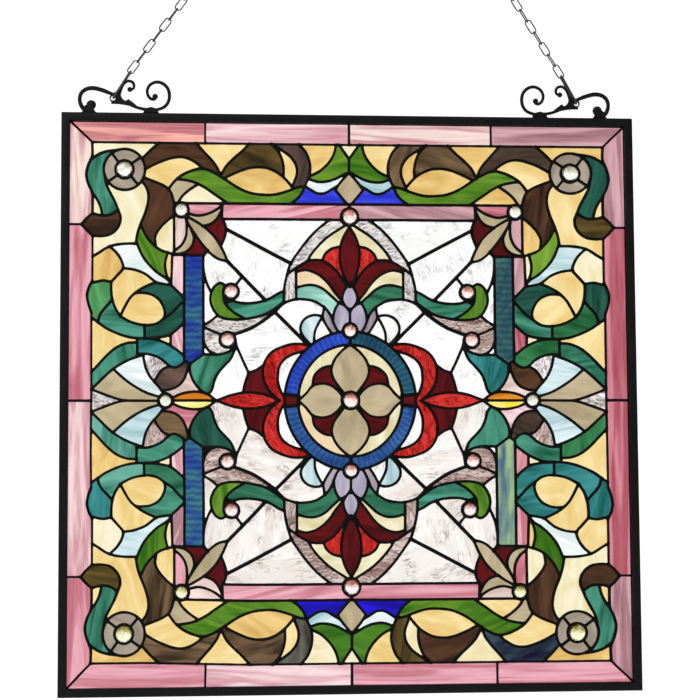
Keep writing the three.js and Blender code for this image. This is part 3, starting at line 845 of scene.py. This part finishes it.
def gem_glass(name, tint, reflected_colour):
    """Clear pressed glass with painted reflection: a mottled smudge of colour over its upper half."""
    shader = Shader(bpy.data.materials.new(f"{name} glass"))
    sheet = shader.attribute("sheet", "Vector")
    mottle = shader.noise(sheet, 240.0, 3.0, 0.8)
    # Painted reflection: the gem's upper half takes the reflected colour in mottled patches, set by height in
    # the gem.
    painted_reflection = (mottle + shader.part_of(sheet, "Y") * 45.0).spread(0.44, 0.74)
    colour = shader.mix(painted_reflection, linear(*tint), linear(*reflected_colour))
    glass_kinds[name] = clear(shader, colour, 0.04 + mottle * 0.05, mottle, 0.0003)


gem_glass("gem", (252, 252, 244), (176, 170, 140))
gem_glass("gem_gold", (252, 250, 212), (170, 152, 52))
gem_glass("gem_rose", (254, 242, 238), (190, 104, 88))

# Where each piece is: out from the middle and up from it, then its glass. Four names are those of the
# quarters: top left, top right, bottom left and bottom right. Two are the top and the bottom halves.
corner_glass = [
    (275, 280, "cream amber amber amber"),  # above the wheel
    (250, 271, "ash"), (250, 239, "ash"), (266, 255, "ash"), (234, 255, "ash"),  # the wheel
    (250, 255, "gem gem gem_gold gem_gold"),
    (281, 253, "teal deep_teal teal teal"),  # the S-shaped ribbon
    (281.5, 209, "cream honey honey honey"), (272, 193, "brown olive olive brown"),
    (245, 220, "cream honey honey cream"),
]
top_glass = [
    (200, 276, "brown bark umber navy"), (205, 252, "honey"), (212, 225, "brown brown umber brown"),
    (188, 234, "stone"), (165, 226, "cream amber honey honey"), (143.5, 275, "honey amber honey cream"),
    (100, 223, "leaf"), (100, 243, "amber amber amber honey"),
    (100, 272, "olive umber umber brown"), (68, 258, "honey amber honey cream"),
    (52, 262, "plum umber slate olive"), (35, 272, "amber honey cream honey"),
    (12, 258, "leaf leaf grass grass"),
    (30, 237, "ice sky sky ice"), (35, 223, "royal royal ultramarine ultramarine"),
    (0, 279, "cream"), (0, 236, "stone"), (205, 182, "cream amber honey cream"),
]
side_glass = [
    (216, 158, "leaf lime leaf leaf"), (201.5, 147, "honey cream cream honey"),
    (190.5, 140, "blush mauve mauve rose"), (190, 68, "blush deep_rose blush rose"),
    (243, 160, "ice sky sky ice"), (268, 148, "amber cream cream honey"), (250, 125, "honey"),
    (276, 115, "emerald deep_teal sea sea"), (230, 100, "honey"), (200, 112, "deep_teal deep_teal teal sea"),
    (250, 79, "teal green jade sea"), (205, 80, "deep_teal teal pine sea"),
    (265, 68, "honey honey amber honey"),
    (203, 69.5, "cream"), (265, 44, "teal teal jade green"), (215, 58, "sea green teal teal"),
    (240, 33, "ice sky sky sky"), (221, 40, "seedy seedy mulberry mulberry"),
    (200, 27, "plum brown umber bark"), (262, 18, "stone"), (275, 0, "seedy"),
    (182, 13, "shell shell rose blush"), (172, 4.5, "flame lemon"), (204, 0, "gem"),
]
column_glass = [(173, 100, "azure peacock azure lagoon")]
inner_glass = [(70, 209, "rose mauve rose rose"), (0, 204, "gem_rose")]
field_glass = [
    # The flower in each corner.
    (187, 210.5, "gem gem gem_gold gem_gold"), (160, 211, "rose deep_rose shell shell"),
    (155, 201, "stone stone shell stone"), (147, 190, "wine"), (158, 178, "stone"), (180, 174, "stone"),
    (189, 185, "shell mauve rose deep_rose"), (170, 166, "wine"),
    # The white ground and the scrolls over it.
    (90, 188, "white warm_white"), (115, 160, "white warm_white"), (150, 145, "white warm_white"),
    (158, 105, "white warm_white"), (147, 110, "leaf"), (132, 120.5, "gem_rose"),
    (113, 118, "white warm_white"),
    (100, 101, "teal teal pine teal"), (125, 83, "seedy mulberry mulberry mulberry"),
    (153, 65, "seedy mulberry mulberry mulberry"),
    (160.5, 54, "white"), (136, 67.5, "gem_rose"), (160, 30, "teal sea deep_teal teal"),
    (135, 25, "white warm_white"), (100, 60, "white warm_white"), (108, 18, "wine"), (88, 35, "red"),
    (73, 35, "white"),
    # The medallion round the ring.
    (50, 82, "sky white sky sky"), (32, 80, "white"), (22, 85, "mist"), (10, 95, "lavender"),
    (0, 117, "lavender"), (60, 100, "white warm_white"), (45, 119, "aqua pine pine pine"),
    (45, 135, "peach straw straw straw"), (67, 128, "seedy seedy mulberry mulberry"),
    (50, 168, "seedy seedy mulberry mulberry"), (30, 172, "straw"), (20, 160, "red"), (0, 160, "wine"),
    (40, 150, "wine"),
]
ring_glass = [(46, 49.5, "sapphire ink cobalt cobalt"), (0, 77.5, "gem_rose")]
rosette_glass = [
    (35, 0, "stone"), (0, 35, "stone"), (33, 27, "wine"), (39, 38, "straw straw peach straw"),
    (0, 0, "gem_rose"),
]
border_glass = {
    "top": "coral blush pearl mauve", "right": "mauve deep_rose deep_rose mauve",
    "bottom": "rose blush rose rose", "left": "pearl rose blush rose",
}
BORDER_MIDDLE = 297  # of the outer border's strips, out from the panel's middle
BORDER_FROM = 290
BORDER_PLACES = (-235, -80, 80, 235)  # a point in each strip, along its side

# Pieces that lie across the line between two zones, with the zone that has them.
halfway = [("red", 110, 0, "field_glass_bottom"), ("wine", 66, 0, "ring_glass_bottom")]


def placed_pieces():
    """Every piece's glass, a point in it, and the CAD node it belongs to."""
    found = []
    for side, names in border_glass.items():
        for i, (kind, along) in enumerate(zip(names.split(), BORDER_PLACES)):
            x, z = {"top": (along, BORDER_MIDDLE), "bottom": (along, -BORDER_MIDDLE),
                    "right": (BORDER_MIDDLE, -along), "left": (-BORDER_MIDDLE, -along)}[side]
            found.append((kind, x, z, f"border_glass_{side}_{i + 1}"))
    zones = (
        (corner_glass, "corner_glass_{row}_{column}"), (top_glass, "scroll_glass_{row}"),
        (side_glass, "scroll_glass_{column}"), (column_glass, "blue_column_{row}_{column}"),
        (inner_glass, "inner_border_{row}"), (field_glass, "field_glass_{row}"),
        (ring_glass, "ring_glass_{row}"), (rosette_glass, "rosette_glass"),
    )
    for zone, node in zones:
        for out, up, names in zone:
            names = names.split()
            for quarter in range(4):
                row, column = ("top", "bottom")[quarter // 2], ("left", "right")[quarter % 2]
                kind = names[quarter * len(names) // 4]
                x = out if column == "right" else -out
                z = up if row == "top" else -up
                found.append((kind, x, z, node.format(row=row, column=column)))
    for kind, out, up, node in halfway:
        found += [(kind, -out, up, node), (kind, out, up, node)]
    return found


COLUMN_KINDS = ("azure", "peacock", "lagoon")
RING_KINDS = ("sapphire", "cobalt", "ink")
RING_MIDDLE = 66  # the radius that their streaks and ribs are measured round
ASKEW = 0.35  # how far, in radians, streaks may be off the way that a piece is longest
GLASS_CREASE = 20  # edges that turn by more degrees than this stay sharp


def grain(kind, x, z, loop, draw):
    """Which way a piece's streaks run: up a column, along the border, or roughly along a piece's length."""
    if kind in COLUMN_KINDS:
        return pi / 2
    if max(abs(x), abs(z)) > BORDER_FROM:
        return 0.0 if abs(z) > abs(x) else pi / 2
    across = max(p[0] for p in loop) - min(p[0] for p in loop)
    up = max(p[1] for p in loop) - min(p[1] for p in loop)
    return (0.0 if across > up else pi / 2) + draw.uniform(-ASKEW, ASKEW)


def slab(loop):
    """A flat piece of glass to this outline, as points in millimetres and faces."""
    border = list(range(len(loop)))
    flat, _, faces = geometry.delaunay_2d_cdt([Vector(p) for p in loop], [], [border], 1, 1e-6)[:3]
    points = [(x, y, z) for y in (-GLASS_HALF_THICK, GLASS_HALF_THICK) for x, z in flat]
    return points, plate(faces, len(flat))


def gem(loop):
    """A round faceted gem to fill this outline: a low cone of facets on each face round a flat table."""
    x = sum(p[0] for p in loop) / len(loop)
    z = sum(p[1] for p in loop) / len(loop)
    radius = sqrt(area(loop) / pi)
    points = []
    for share, back, shift in GEM_ROWS:
        for i in range(GEM_SIDES):
            turn = 2 * pi * (i + shift) / GEM_SIDES
            points.append((x + share * radius * cos(turn), back, z + share * radius * sin(turn)))
    faces = [list(range(GEM_SIDES)), list(range(4 * GEM_SIDES, 5 * GEM_SIDES))[::-1]]
    for row, zigzag in enumerate((-1, 1, 0, 0)):
        for i in range(GEM_SIDES):
            a, b = row * GEM_SIDES + i, row * GEM_SIDES + (i + 1) % GEM_SIDES
            c, d = a + GEM_SIDES, b + GEM_SIDES
            if zigzag < 0:
                before = row * GEM_SIDES + GEM_SIDES + (i - 1) % GEM_SIDES
                faces += [[a, before, c], [a, c, b]]
            elif zigzag > 0:
                faces += [[a, c, d], [a, d, b]]
            else:
                faces.append([a, c, d, b])
    return points, faces


def cut_glass():
    """Every zone's pieces together, as one object with a material for each glass in it."""
    outlines = [simplified(loop) for loop in crossings(np.minimum(solder + TUCK, -past_edge), 0.0)]
    outlines = [loop for loop in outlines if area(loop) > LEAST_GLASS]
    boxes = np.array([[min(p[0] for p in loop), max(p[0] for p in loop),
                       min(p[1] for p in loop), max(p[1] for p in loop)] for loop in outlines])
    taken = set()
    zones = {}
    for kind, x, z, node in placed_pieces():
        near = np.nonzero((boxes[:, 0] < x) & (boxes[:, 1] > x) & (boxes[:, 2] < z) & (boxes[:, 3] > z))[0]
        for k in near:
            if k not in taken and inside(outlines[k], x, z):
                taken.add(k)
                zones.setdefault(node, []).append((kind, outlines[k]))
    for node, pieces in sorted(zones.items()):
        glass_zone(node, pieces)


def glass_zone(node, pieces):
    """One zone's pieces. Each point of them is told its tone and where in the sheet it was cut from."""
    points, faces, kinds, sheet, tone = [], [], [], [], []
    names = sorted({kind for kind, _ in pieces})
    draw = np.random.default_rng(sum(map(ord, node)))
    for kind, loop in pieces:
        is_gem = kind.startswith("gem")
        solid, shell = gem(loop) if is_gem else slab(loop)
        start = len(points)
        x, z = np.mean(loop, axis=0)
        turn = grain(kind, x, z, loop, draw)
        shift = draw.uniform(0, 9, 2) * (1, not is_gem)
        shade = draw.uniform(0.2, 0.8)
        for px, y, pz in solid:
            if is_gem:
                along, over = px - x, pz - z
            elif kind in RING_KINDS:
                along, over = atan2(pz, px) * RING_MIDDLE, hypot(px, pz)
            else:
                along, over = px * cos(turn) + pz * sin(turn), pz * cos(turn) - px * sin(turn)
            sheet.append((along * MM + shift[0], over * MM + shift[1], y * MM))
            tone.append(shade)
            hx, hz = set_by_hand(px, pz)
            points.append(PANEL_MID + Vector((hx, y, hz)) * MM)
        faces += [[start + k for k in face] for face in shell]
        kinds += [names.index(kind)] * len(shell)
    made = piece(node.replace("glass", "pieces"), points, faces, [glass_kinds[name] for name in names],
                 [node], kinds, GLASS_CREASE)
    made.data.attributes.new("sheet", "FLOAT_VECTOR", "POINT").data.foreach_set("vector", np.ravel(sheet))
    made.data.attributes.new("tone", "FLOAT", "POINT").data.foreach_set("value", tone)


cut_glass()


# ---------------------------------------------------------------------------------------------------------
# The scroll brackets. Each is forged from round bar in curls with swollen ends, and soldered to the top rail
# by two feet. Its leaf carries the eye that the chain hooks into. Black satin paint, as on the frame.

BAR = 3.8
BAR_STEP = 1.2  # between the rings of points along a bar
BRACKET_REACH = 38.56  # from the eye out to the far side of the back curl
EYE_HEIGHT = 16.5
EYE_RADIUS = 2.6
LEAF_EDGE = 0.45
FOOT_EXTRA = 0.7  # how much further a foot stands to the front, and to the back, than the bar
FOOT_EDGE = 0.6


def tube(line, radii, around=18, closed=False):
    """A round bar along a line of (x, z) or (x, y, z), its radius changing evenly with its length."""
    line = [Vector((p[0], 0, p[1])) if len(p) == 2 else Vector(p) for p in line]
    count = len(line)
    travelled = [0.0]
    for a, b in zip(line, line[1:]):
        travelled.append(travelled[-1] + (b - a).length)
    stops = np.linspace(0, travelled[-1], len(radii))
    points = []
    side = None
    for k, at in enumerate(line):
        ahead = line[(k + 1) % count] if closed else line[min(k + 1, count - 1)]
        behind = line[k - 1] if closed else line[max(k - 1, 0)]
        way = (ahead - behind).normalized()
        if side is None:
            side = way.orthogonal()
        side = (side - way * side.dot(way)).normalized()
        over = way.cross(side)
        radius = float(np.interp(travelled[k], stops, radii))
        for j in range(around):
            turn = 2 * pi * j / around
            points.append(at + (side * cos(turn) + over * sin(turn)) * radius)
    return points, skin(count, around, closed)


def drop(x, z, radius, deep):
    """A swollen round end, flattened front and back."""
    rows, steps = 12, 24
    fullness = 0.8  # below 1, its side is fuller than a ball's
    points = [Vector((x, -deep, z))]
    for i in range(1, rows):
        back = -cos(pi * i / rows) * deep
        wide = sin(pi * i / rows) ** fullness * radius
        for j in range(steps):
            turn = 2 * pi * j / steps
            points.append(Vector((x + wide * cos(turn), back, z + wide * sin(turn))))
    points.append(Vector((x, deep, z)))
    last = len(points) - 1
    faces = []
    for j in range(steps):
        m = (j + 1) % steps
        faces.append((0, 1 + j, 1 + m))
        faces.append((last, last - steps + m, last - steps + j))
        for i in range(rows - 2):
            a = 1 + i * steps
            faces.append((a + m, a + j, a + j + steps, a + m + steps))
    return points, faces


def forged(outline, half, edge, hole=None):
    """A plate to this outline, of this half thickness, with rounded edges, and a hole if one is given."""
    loops = [outline] if hole is None else [outline, hole]
    points = []
    faces = []
    rows = [(-half, edge), (-half + 0.5 * edge, 0.35 * edge), (-half + edge, 0),
            (half - edge, 0), (half - 0.5 * edge, 0.35 * edge), (half, edge)]
    for y, inset in rows:
        for loop in loops:
            turned = 1 if area(loop) > 0 else -1
            for before, at, after in zip(loop[-1:] + loop[:-1], loop, loop[1:] + loop[:1]):
                way = Vector((after[0] - before[0], after[1] - before[1])).normalized() * inset * turned
                into = -1 if loop is hole else 1
                points.append(Vector((at[0] - way.y * into, y, at[1] + way.x * into)))
    per_row = sum(map(len, loops))
    start = 0
    for loop in loops:
        flip = (area(loop) > 0) == (loop is not hole)
        for row in range(len(rows) - 1):
            for j in range(len(loop)):
                a = row * per_row + start + j
                b = row * per_row + start + (j + 1) % len(loop)
                wall = (a, a + per_row, b + per_row, b)
                faces.append(wall if flip else wall[::-1])
        start += len(loop)
    flat = [Vector(p) for loop in loops for p in loop]
    rims = [list(range(len(outline)))] + ([list(range(len(outline), per_row))] if hole else [])
    cap = geometry.delaunay_2d_cdt(flat, [], rims, 1, 1e-7)[2]
    if hole:
        cap = [face for face in cap if not inside(hole, *(sum(flat[k][i] for k in face) / 3 for i in (0, 1)))]
    faces += [tuple(face) for face in cap]
    faces += [tuple(k + 5 * per_row for k in reversed(face)) for face in cap]
    return points, faces


def curved(*points, steps=7):
    """A line through groups of three: start, pull, end, each end starting the next."""
    line = [points[0]]
    for pull, end in zip(points[1::2], points[2::2]):
        start = line[-1]
        for i in range(1, steps + 1):
            t = i / steps
            line.append(tuple((1 - t) ** 2 * a + 2 * t * (1 - t) * b + t * t * c
                              for a, b, c in zip(start, pull, end)))
    return line


def joined(parts):
    """Several solids' points and faces as one."""
    points, faces = [], []
    for some, shell in parts:
        start = len(points)
        points += some
        faces += [tuple(start + k for k in face) for face in shell]
    return points, faces


def bracket(name, side):
    """Drawn outwards from its eye and up from the rail. Each bar's radii are given along its length."""
    low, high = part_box(f"bracket_{name}")
    eye = (high.x if side > 0 else -low.x) / MM - BRACKET_REACH
    half = BAR / 2
    leaf = curved((2.2, 10.4), (1.2, 12), (2.8, 13.6), (4.4, 15.6), (3.6, 18.5), (0, 24), (-7.5, 25.5),
                  (-8.5, 15.5), (-14, 13.8), (-15.4, 14.6), (-16.5, 16.1), (-22, 12.5), (-26.8, 7.8),
                  (-27.4, 6.6), (-26.6, 5.6), (-12, 11.2), (2.2, 10.4))[:-1]
    eye_hole = arc(0, EYE_HEIGHT, EYE_RADIUS, 0, 360, 24)[:-1]
    back = spline([(30.5, 3), (34.6, 8), (36.4, 15.5), (34.6, 22), (29.5, 26.4), (22, 27.8),
                   (12.5, 25.8), (5, 23), (0.5, 21.2), (-2.5, 19.8)], BAR_STEP)
    curl = spline([(-6.5, 20), (-9, 28), (-12, 33.5), (-16.5, 36.2), (-21, 35), (-23, 31),
                   (-22.4, 28.2), (-20.8, 26.8), (-18.8, 26.6)], BAR_STEP)
    volute = spline([(-20, 9), (-29.5, 5.8), (-38, 4.6), (-48, 4.6), (-56.5, 7.9), (-60.6, 13.5),
                     (-61.8, 20.5), (-60, 28.2), (-54.5, 33.8), (-47.5, 35.4), (-40.7, 32.3), (-37.4, 25.8),
                     (-38.9, 19.2), (-42.3, 16.2), (-45.2, 16.2), (-46.6, 18)], BAR_STEP)
    near_foot = curved((34.4, 0.3), (32, 2.8), (32.2, 6), (30, 9.4), (25.5, 10), (20.8, 8), (20.4, 4),
                       (20, 1.6), (17.8, 0.3), (26, 0.25), (34.4, 0.3))[:-1]
    far_foot = curved((-32.6, 0.3), (-34.8, 2.2), (-32.5, 4.8), (-37, 6), (-41.5, 7.3), (-46, 6),
                      (-50.7, 4.8), (-48.4, 2.2), (-50.6, 0.3), (-41.5, 0.25), (-32.6, 0.3))[:-1]
    parts = [
        forged(leaf, half, LEAF_EDGE, eye_hole),
        forged(near_foot, half + FOOT_EXTRA, FOOT_EDGE), forged(far_foot, half + FOOT_EXTRA, FOOT_EDGE),
        tube(back, [2.6, 2.2, 2.3, 2.5, 2.4, 1.7]), drop(23.8, 9, 5.4, 2.9),
        tube(curl, [2.0, 1.7, 1.65, 1.7, 1.3]), drop(-18.4, 26.8, 2.9, 2.5),
        tube(volute, [1.7, 1.8, 1.75, 1.85, 1.95, 1.95, 1.8, 1.7, 1.8]), drop(-46.1, 19.2, 3.2, 2.7),
    ]
    points, faces = joined(parts)
    middle = Vector((0, 0, PANEL_MID.z))
    placed = [Vector((side * (eye + p.x), p.y, p.z + HALF)) * MM + middle for p in points]
    if side < 0:
        faces = [face[::-1] for face in faces]
    piece(f"scroll_{name}", placed, faces, [frame_paint], [f"bracket_{name}"], crease=30)


bracket("left", -1)
bracket("right", 1)


# ---------------------------------------------------------------------------------------------------------
# The chains. Seven welded wire links a side, each a quarter turn from the last, between a stouter long link
# through the bracket's eye and a ring for the ceiling hook. Blackened steel, brighter in places.

CHAIN_WIRE = 1.5
LINK_LENGTH = 18.15
LINK_WIDTH = 8.5
LINKS = 7
HOOK_WIRE = 2.2
HOOK_WIDTH = 9.8  # of the long link
RING_WIRE = 2.4
RING_INSET = 0.2  # keeps the round ring inside its CAD node
WELD_SWELL = 0.16
WIRE_STEP = 1.2
LEANS = {"left": (32.2, 35.9), "right": (-28.2, -31.3)}  # of the long link and of the chain, inwards

steel = metal("blackened steel", linear(48, 49, 52), linear(112, 113, 117), 0.75, 0.38, 1400.0)


def hang(name, shown_as, lean, turned, line, radii, around):
    """A closed loop of wire round the middle of its CAD node, turned about its length, then leaning."""
    low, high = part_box(name)
    middle = (low + high) / 2
    turn = Matrix.Rotation(radians(lean), 3, "Y") @ Matrix.Rotation(radians(turned), 3, "Z")
    points, faces = tube(line, radii, around, True)
    points = [Vector((middle.x, 0, middle.z)) + turn @ p * MM for p in points]
    piece(shown_as, points, faces, [steel], [name])


def wire_link(name, lean, turned, length, width, wire):
    """A wire bent to a long ring, with a small thickening at its weld."""
    round_radius = (width - wire) / 2
    straight_half = (length - wire) / 2 - round_radius
    line = []
    for sign, start in ((1, 0), (-1, 180)):
        line += [(x, 0, z + sign * straight_half) for x, z in arc(0, 0, round_radius, start, start + 180, 14)]
    spaced = []
    for a, b in zip(line, line[1:] + line[:1]):
        far = hypot(b[0] - a[0], b[2] - a[2])
        parts = max(1, round(far / WIRE_STEP))
        spaced += [tuple(p + (q - p) * i / parts for p, q in zip(a, b)) for i in range(parts)]
    weld = len(spaced) // 2 - 3
    radii = [wire / 2 * (1 + WELD_SWELL * max(0, 1 - abs(k - weld) / 2.5)) for k in range(len(spaced))]
    hang(name, name.replace("link", "wire"), lean, turned, spaced, radii, 12)


def plain_ring(name, lean):
    """The round ring at a chain's top, as wide as its CAD node is deep."""
    low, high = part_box(name)
    radius = (high.y - low.y) / 2 / MM - RING_WIRE / 2 - RING_INSET
    line = [(0, x, z) for x, z in arc(0, 0, radius, 0, 360, 64)[:-1]]
    hang(name, name.replace("hanging", "round"), lean, 0, line, [RING_WIRE / 2] * 2, 14)


for name, (hook_lean, chain_lean) in LEANS.items():
    low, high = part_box(f"long_link_{name}")
    span = (high.z - low.z) / MM
    hook_length = (span - HOOK_WIRE) / cos(radians(hook_lean)) + HOOK_WIRE
    wire_link(f"long_link_{name}", hook_lean, 90, hook_length, HOOK_WIDTH, HOOK_WIRE)
    for i in range(LINKS):
        wire_link(f"chain_link_{name}_{i + 1}", chain_lean, 90 * (i % 2), LINK_LENGTH, LINK_WIDTH, CHAIN_WIRE)
    plain_ring(f"hanging_ring_{name}", chain_lean)


# ---------------------------------------------------------------------------------------------------------
# The stage. The window hangs free before a bright, even, nearly white backdrop that lights its glass from
# behind, over a pale floor. The room in front is reflected dimly, so that the glass keeps its colour. A soft
# light there shows the black metal's rounded edges.

FLOOR_DROP = 0.35
FLOOR_HALF = 3.5
BACK_LIGHT = 1.1
FRONT_LIGHT = 0.9
DIM_ROOM = 0.16  # the front side, as the glass and paint reflect it
ROOM_ENDS = -0.4  # a direction belongs to the room in front if its Y is under this,
BACKDROP_FROM = 0.1  # and to the backdrop if it is over this
LAMP_PLACE = Vector((-1.2, -2.6, 1.8))  # from the panel's middle
LAMP_SIZE = (1.6, 1.2)
LAMP_WATTS = 26
CAMERA_PLACE = PANEL_MID + Vector((-0.1888, -2.1820, -0.1380))
CAMERA_AIM = PANEL_MID + Vector((-0.0014, 0.0, 0.0565))
CAMERA_ROLL = -0.338
SENSOR_WIDTH = 36
LENS = 102.86


def aimed(place, aim):
    """The turn that points a lamp or camera at this place towards its aim."""
    return (aim - place).to_track_quat("-Z", "Y")


pale_floor = Shader(bpy.data.materials.new("pale floor"))
haze = pale_floor.noise(pale_floor.place(), 1.5, 2.0).spread(0.3, 0.7)
floor_colour = pale_floor.mix(haze, linear(242, 242, 242), linear(240, 240, 240))
floor_z = cad_low.z - FLOOR_DROP
corners = [(x * FLOOR_HALF, y * FLOOR_HALF, floor_z) for x, y in ((-1, -1), (1, -1), (1, 1), (-1, 1))]
floor_mesh = bpy.data.meshes.new("floor")
floor_mesh.from_pydata(corners, [], [(0, 1, 2, 3)])
floor_mesh.materials.append(pale_floor.finished({"Base Color": floor_colour, "Roughness": 0.8}))
made = add("floor", floor_mesh)

lamp = bpy.data.lights.new("front light", "AREA")
lamp.shape = "RECTANGLE"
lamp.size, lamp.size_y = LAMP_SIZE
lamp.energy = LAMP_WATTS
made = add("front light", lamp)
made.location = PANEL_MID + LAMP_PLACE
made.rotation_euler = aimed(made.location, PANEL_MID).to_euler()

# The world is bright behind the window. In front it's nearly as bright where it is seen, directly or through
# the glass, and dim where it is only reflected.
scene = bpy.context.scene
scene.world = bpy.data.worlds.new("daylight")
world = Shader(scene.world)
seen = world.value("ShaderNodeLightPath", output="Is Camera Ray").larger(
    world.value("ShaderNodeLightPath", output="Is Transmission Ray"))
front_side = seen.spread(0.0, 1.0, DIM_ROOM, FRONT_LIGHT)
back = world.part_of(world.value("ShaderNodeTexCoord", output="Generated"), "Y")
strength = back.spread(ROOM_ENDS, BACKDROP_FROM, front_side, BACK_LIGHT)
world.finished({"Color": (1.0, 1.0, 1.0, 1.0), "Strength": strength},
               "ShaderNodeBackground", "ShaderNodeOutputWorld")

scene.view_settings.view_transform = "Standard"

camera = add("camera", bpy.data.cameras.new("camera"))
camera.location = CAMERA_PLACE
roll = Matrix.Rotation(radians(CAMERA_ROLL), 4, "Z").to_quaternion()
camera.rotation_euler = (aimed(CAMERA_PLACE, CAMERA_AIM) @ roll).to_euler()
camera.data.sensor_width = SENSOR_WIDTH
camera.data.lens = LENS
scene.camera = camera
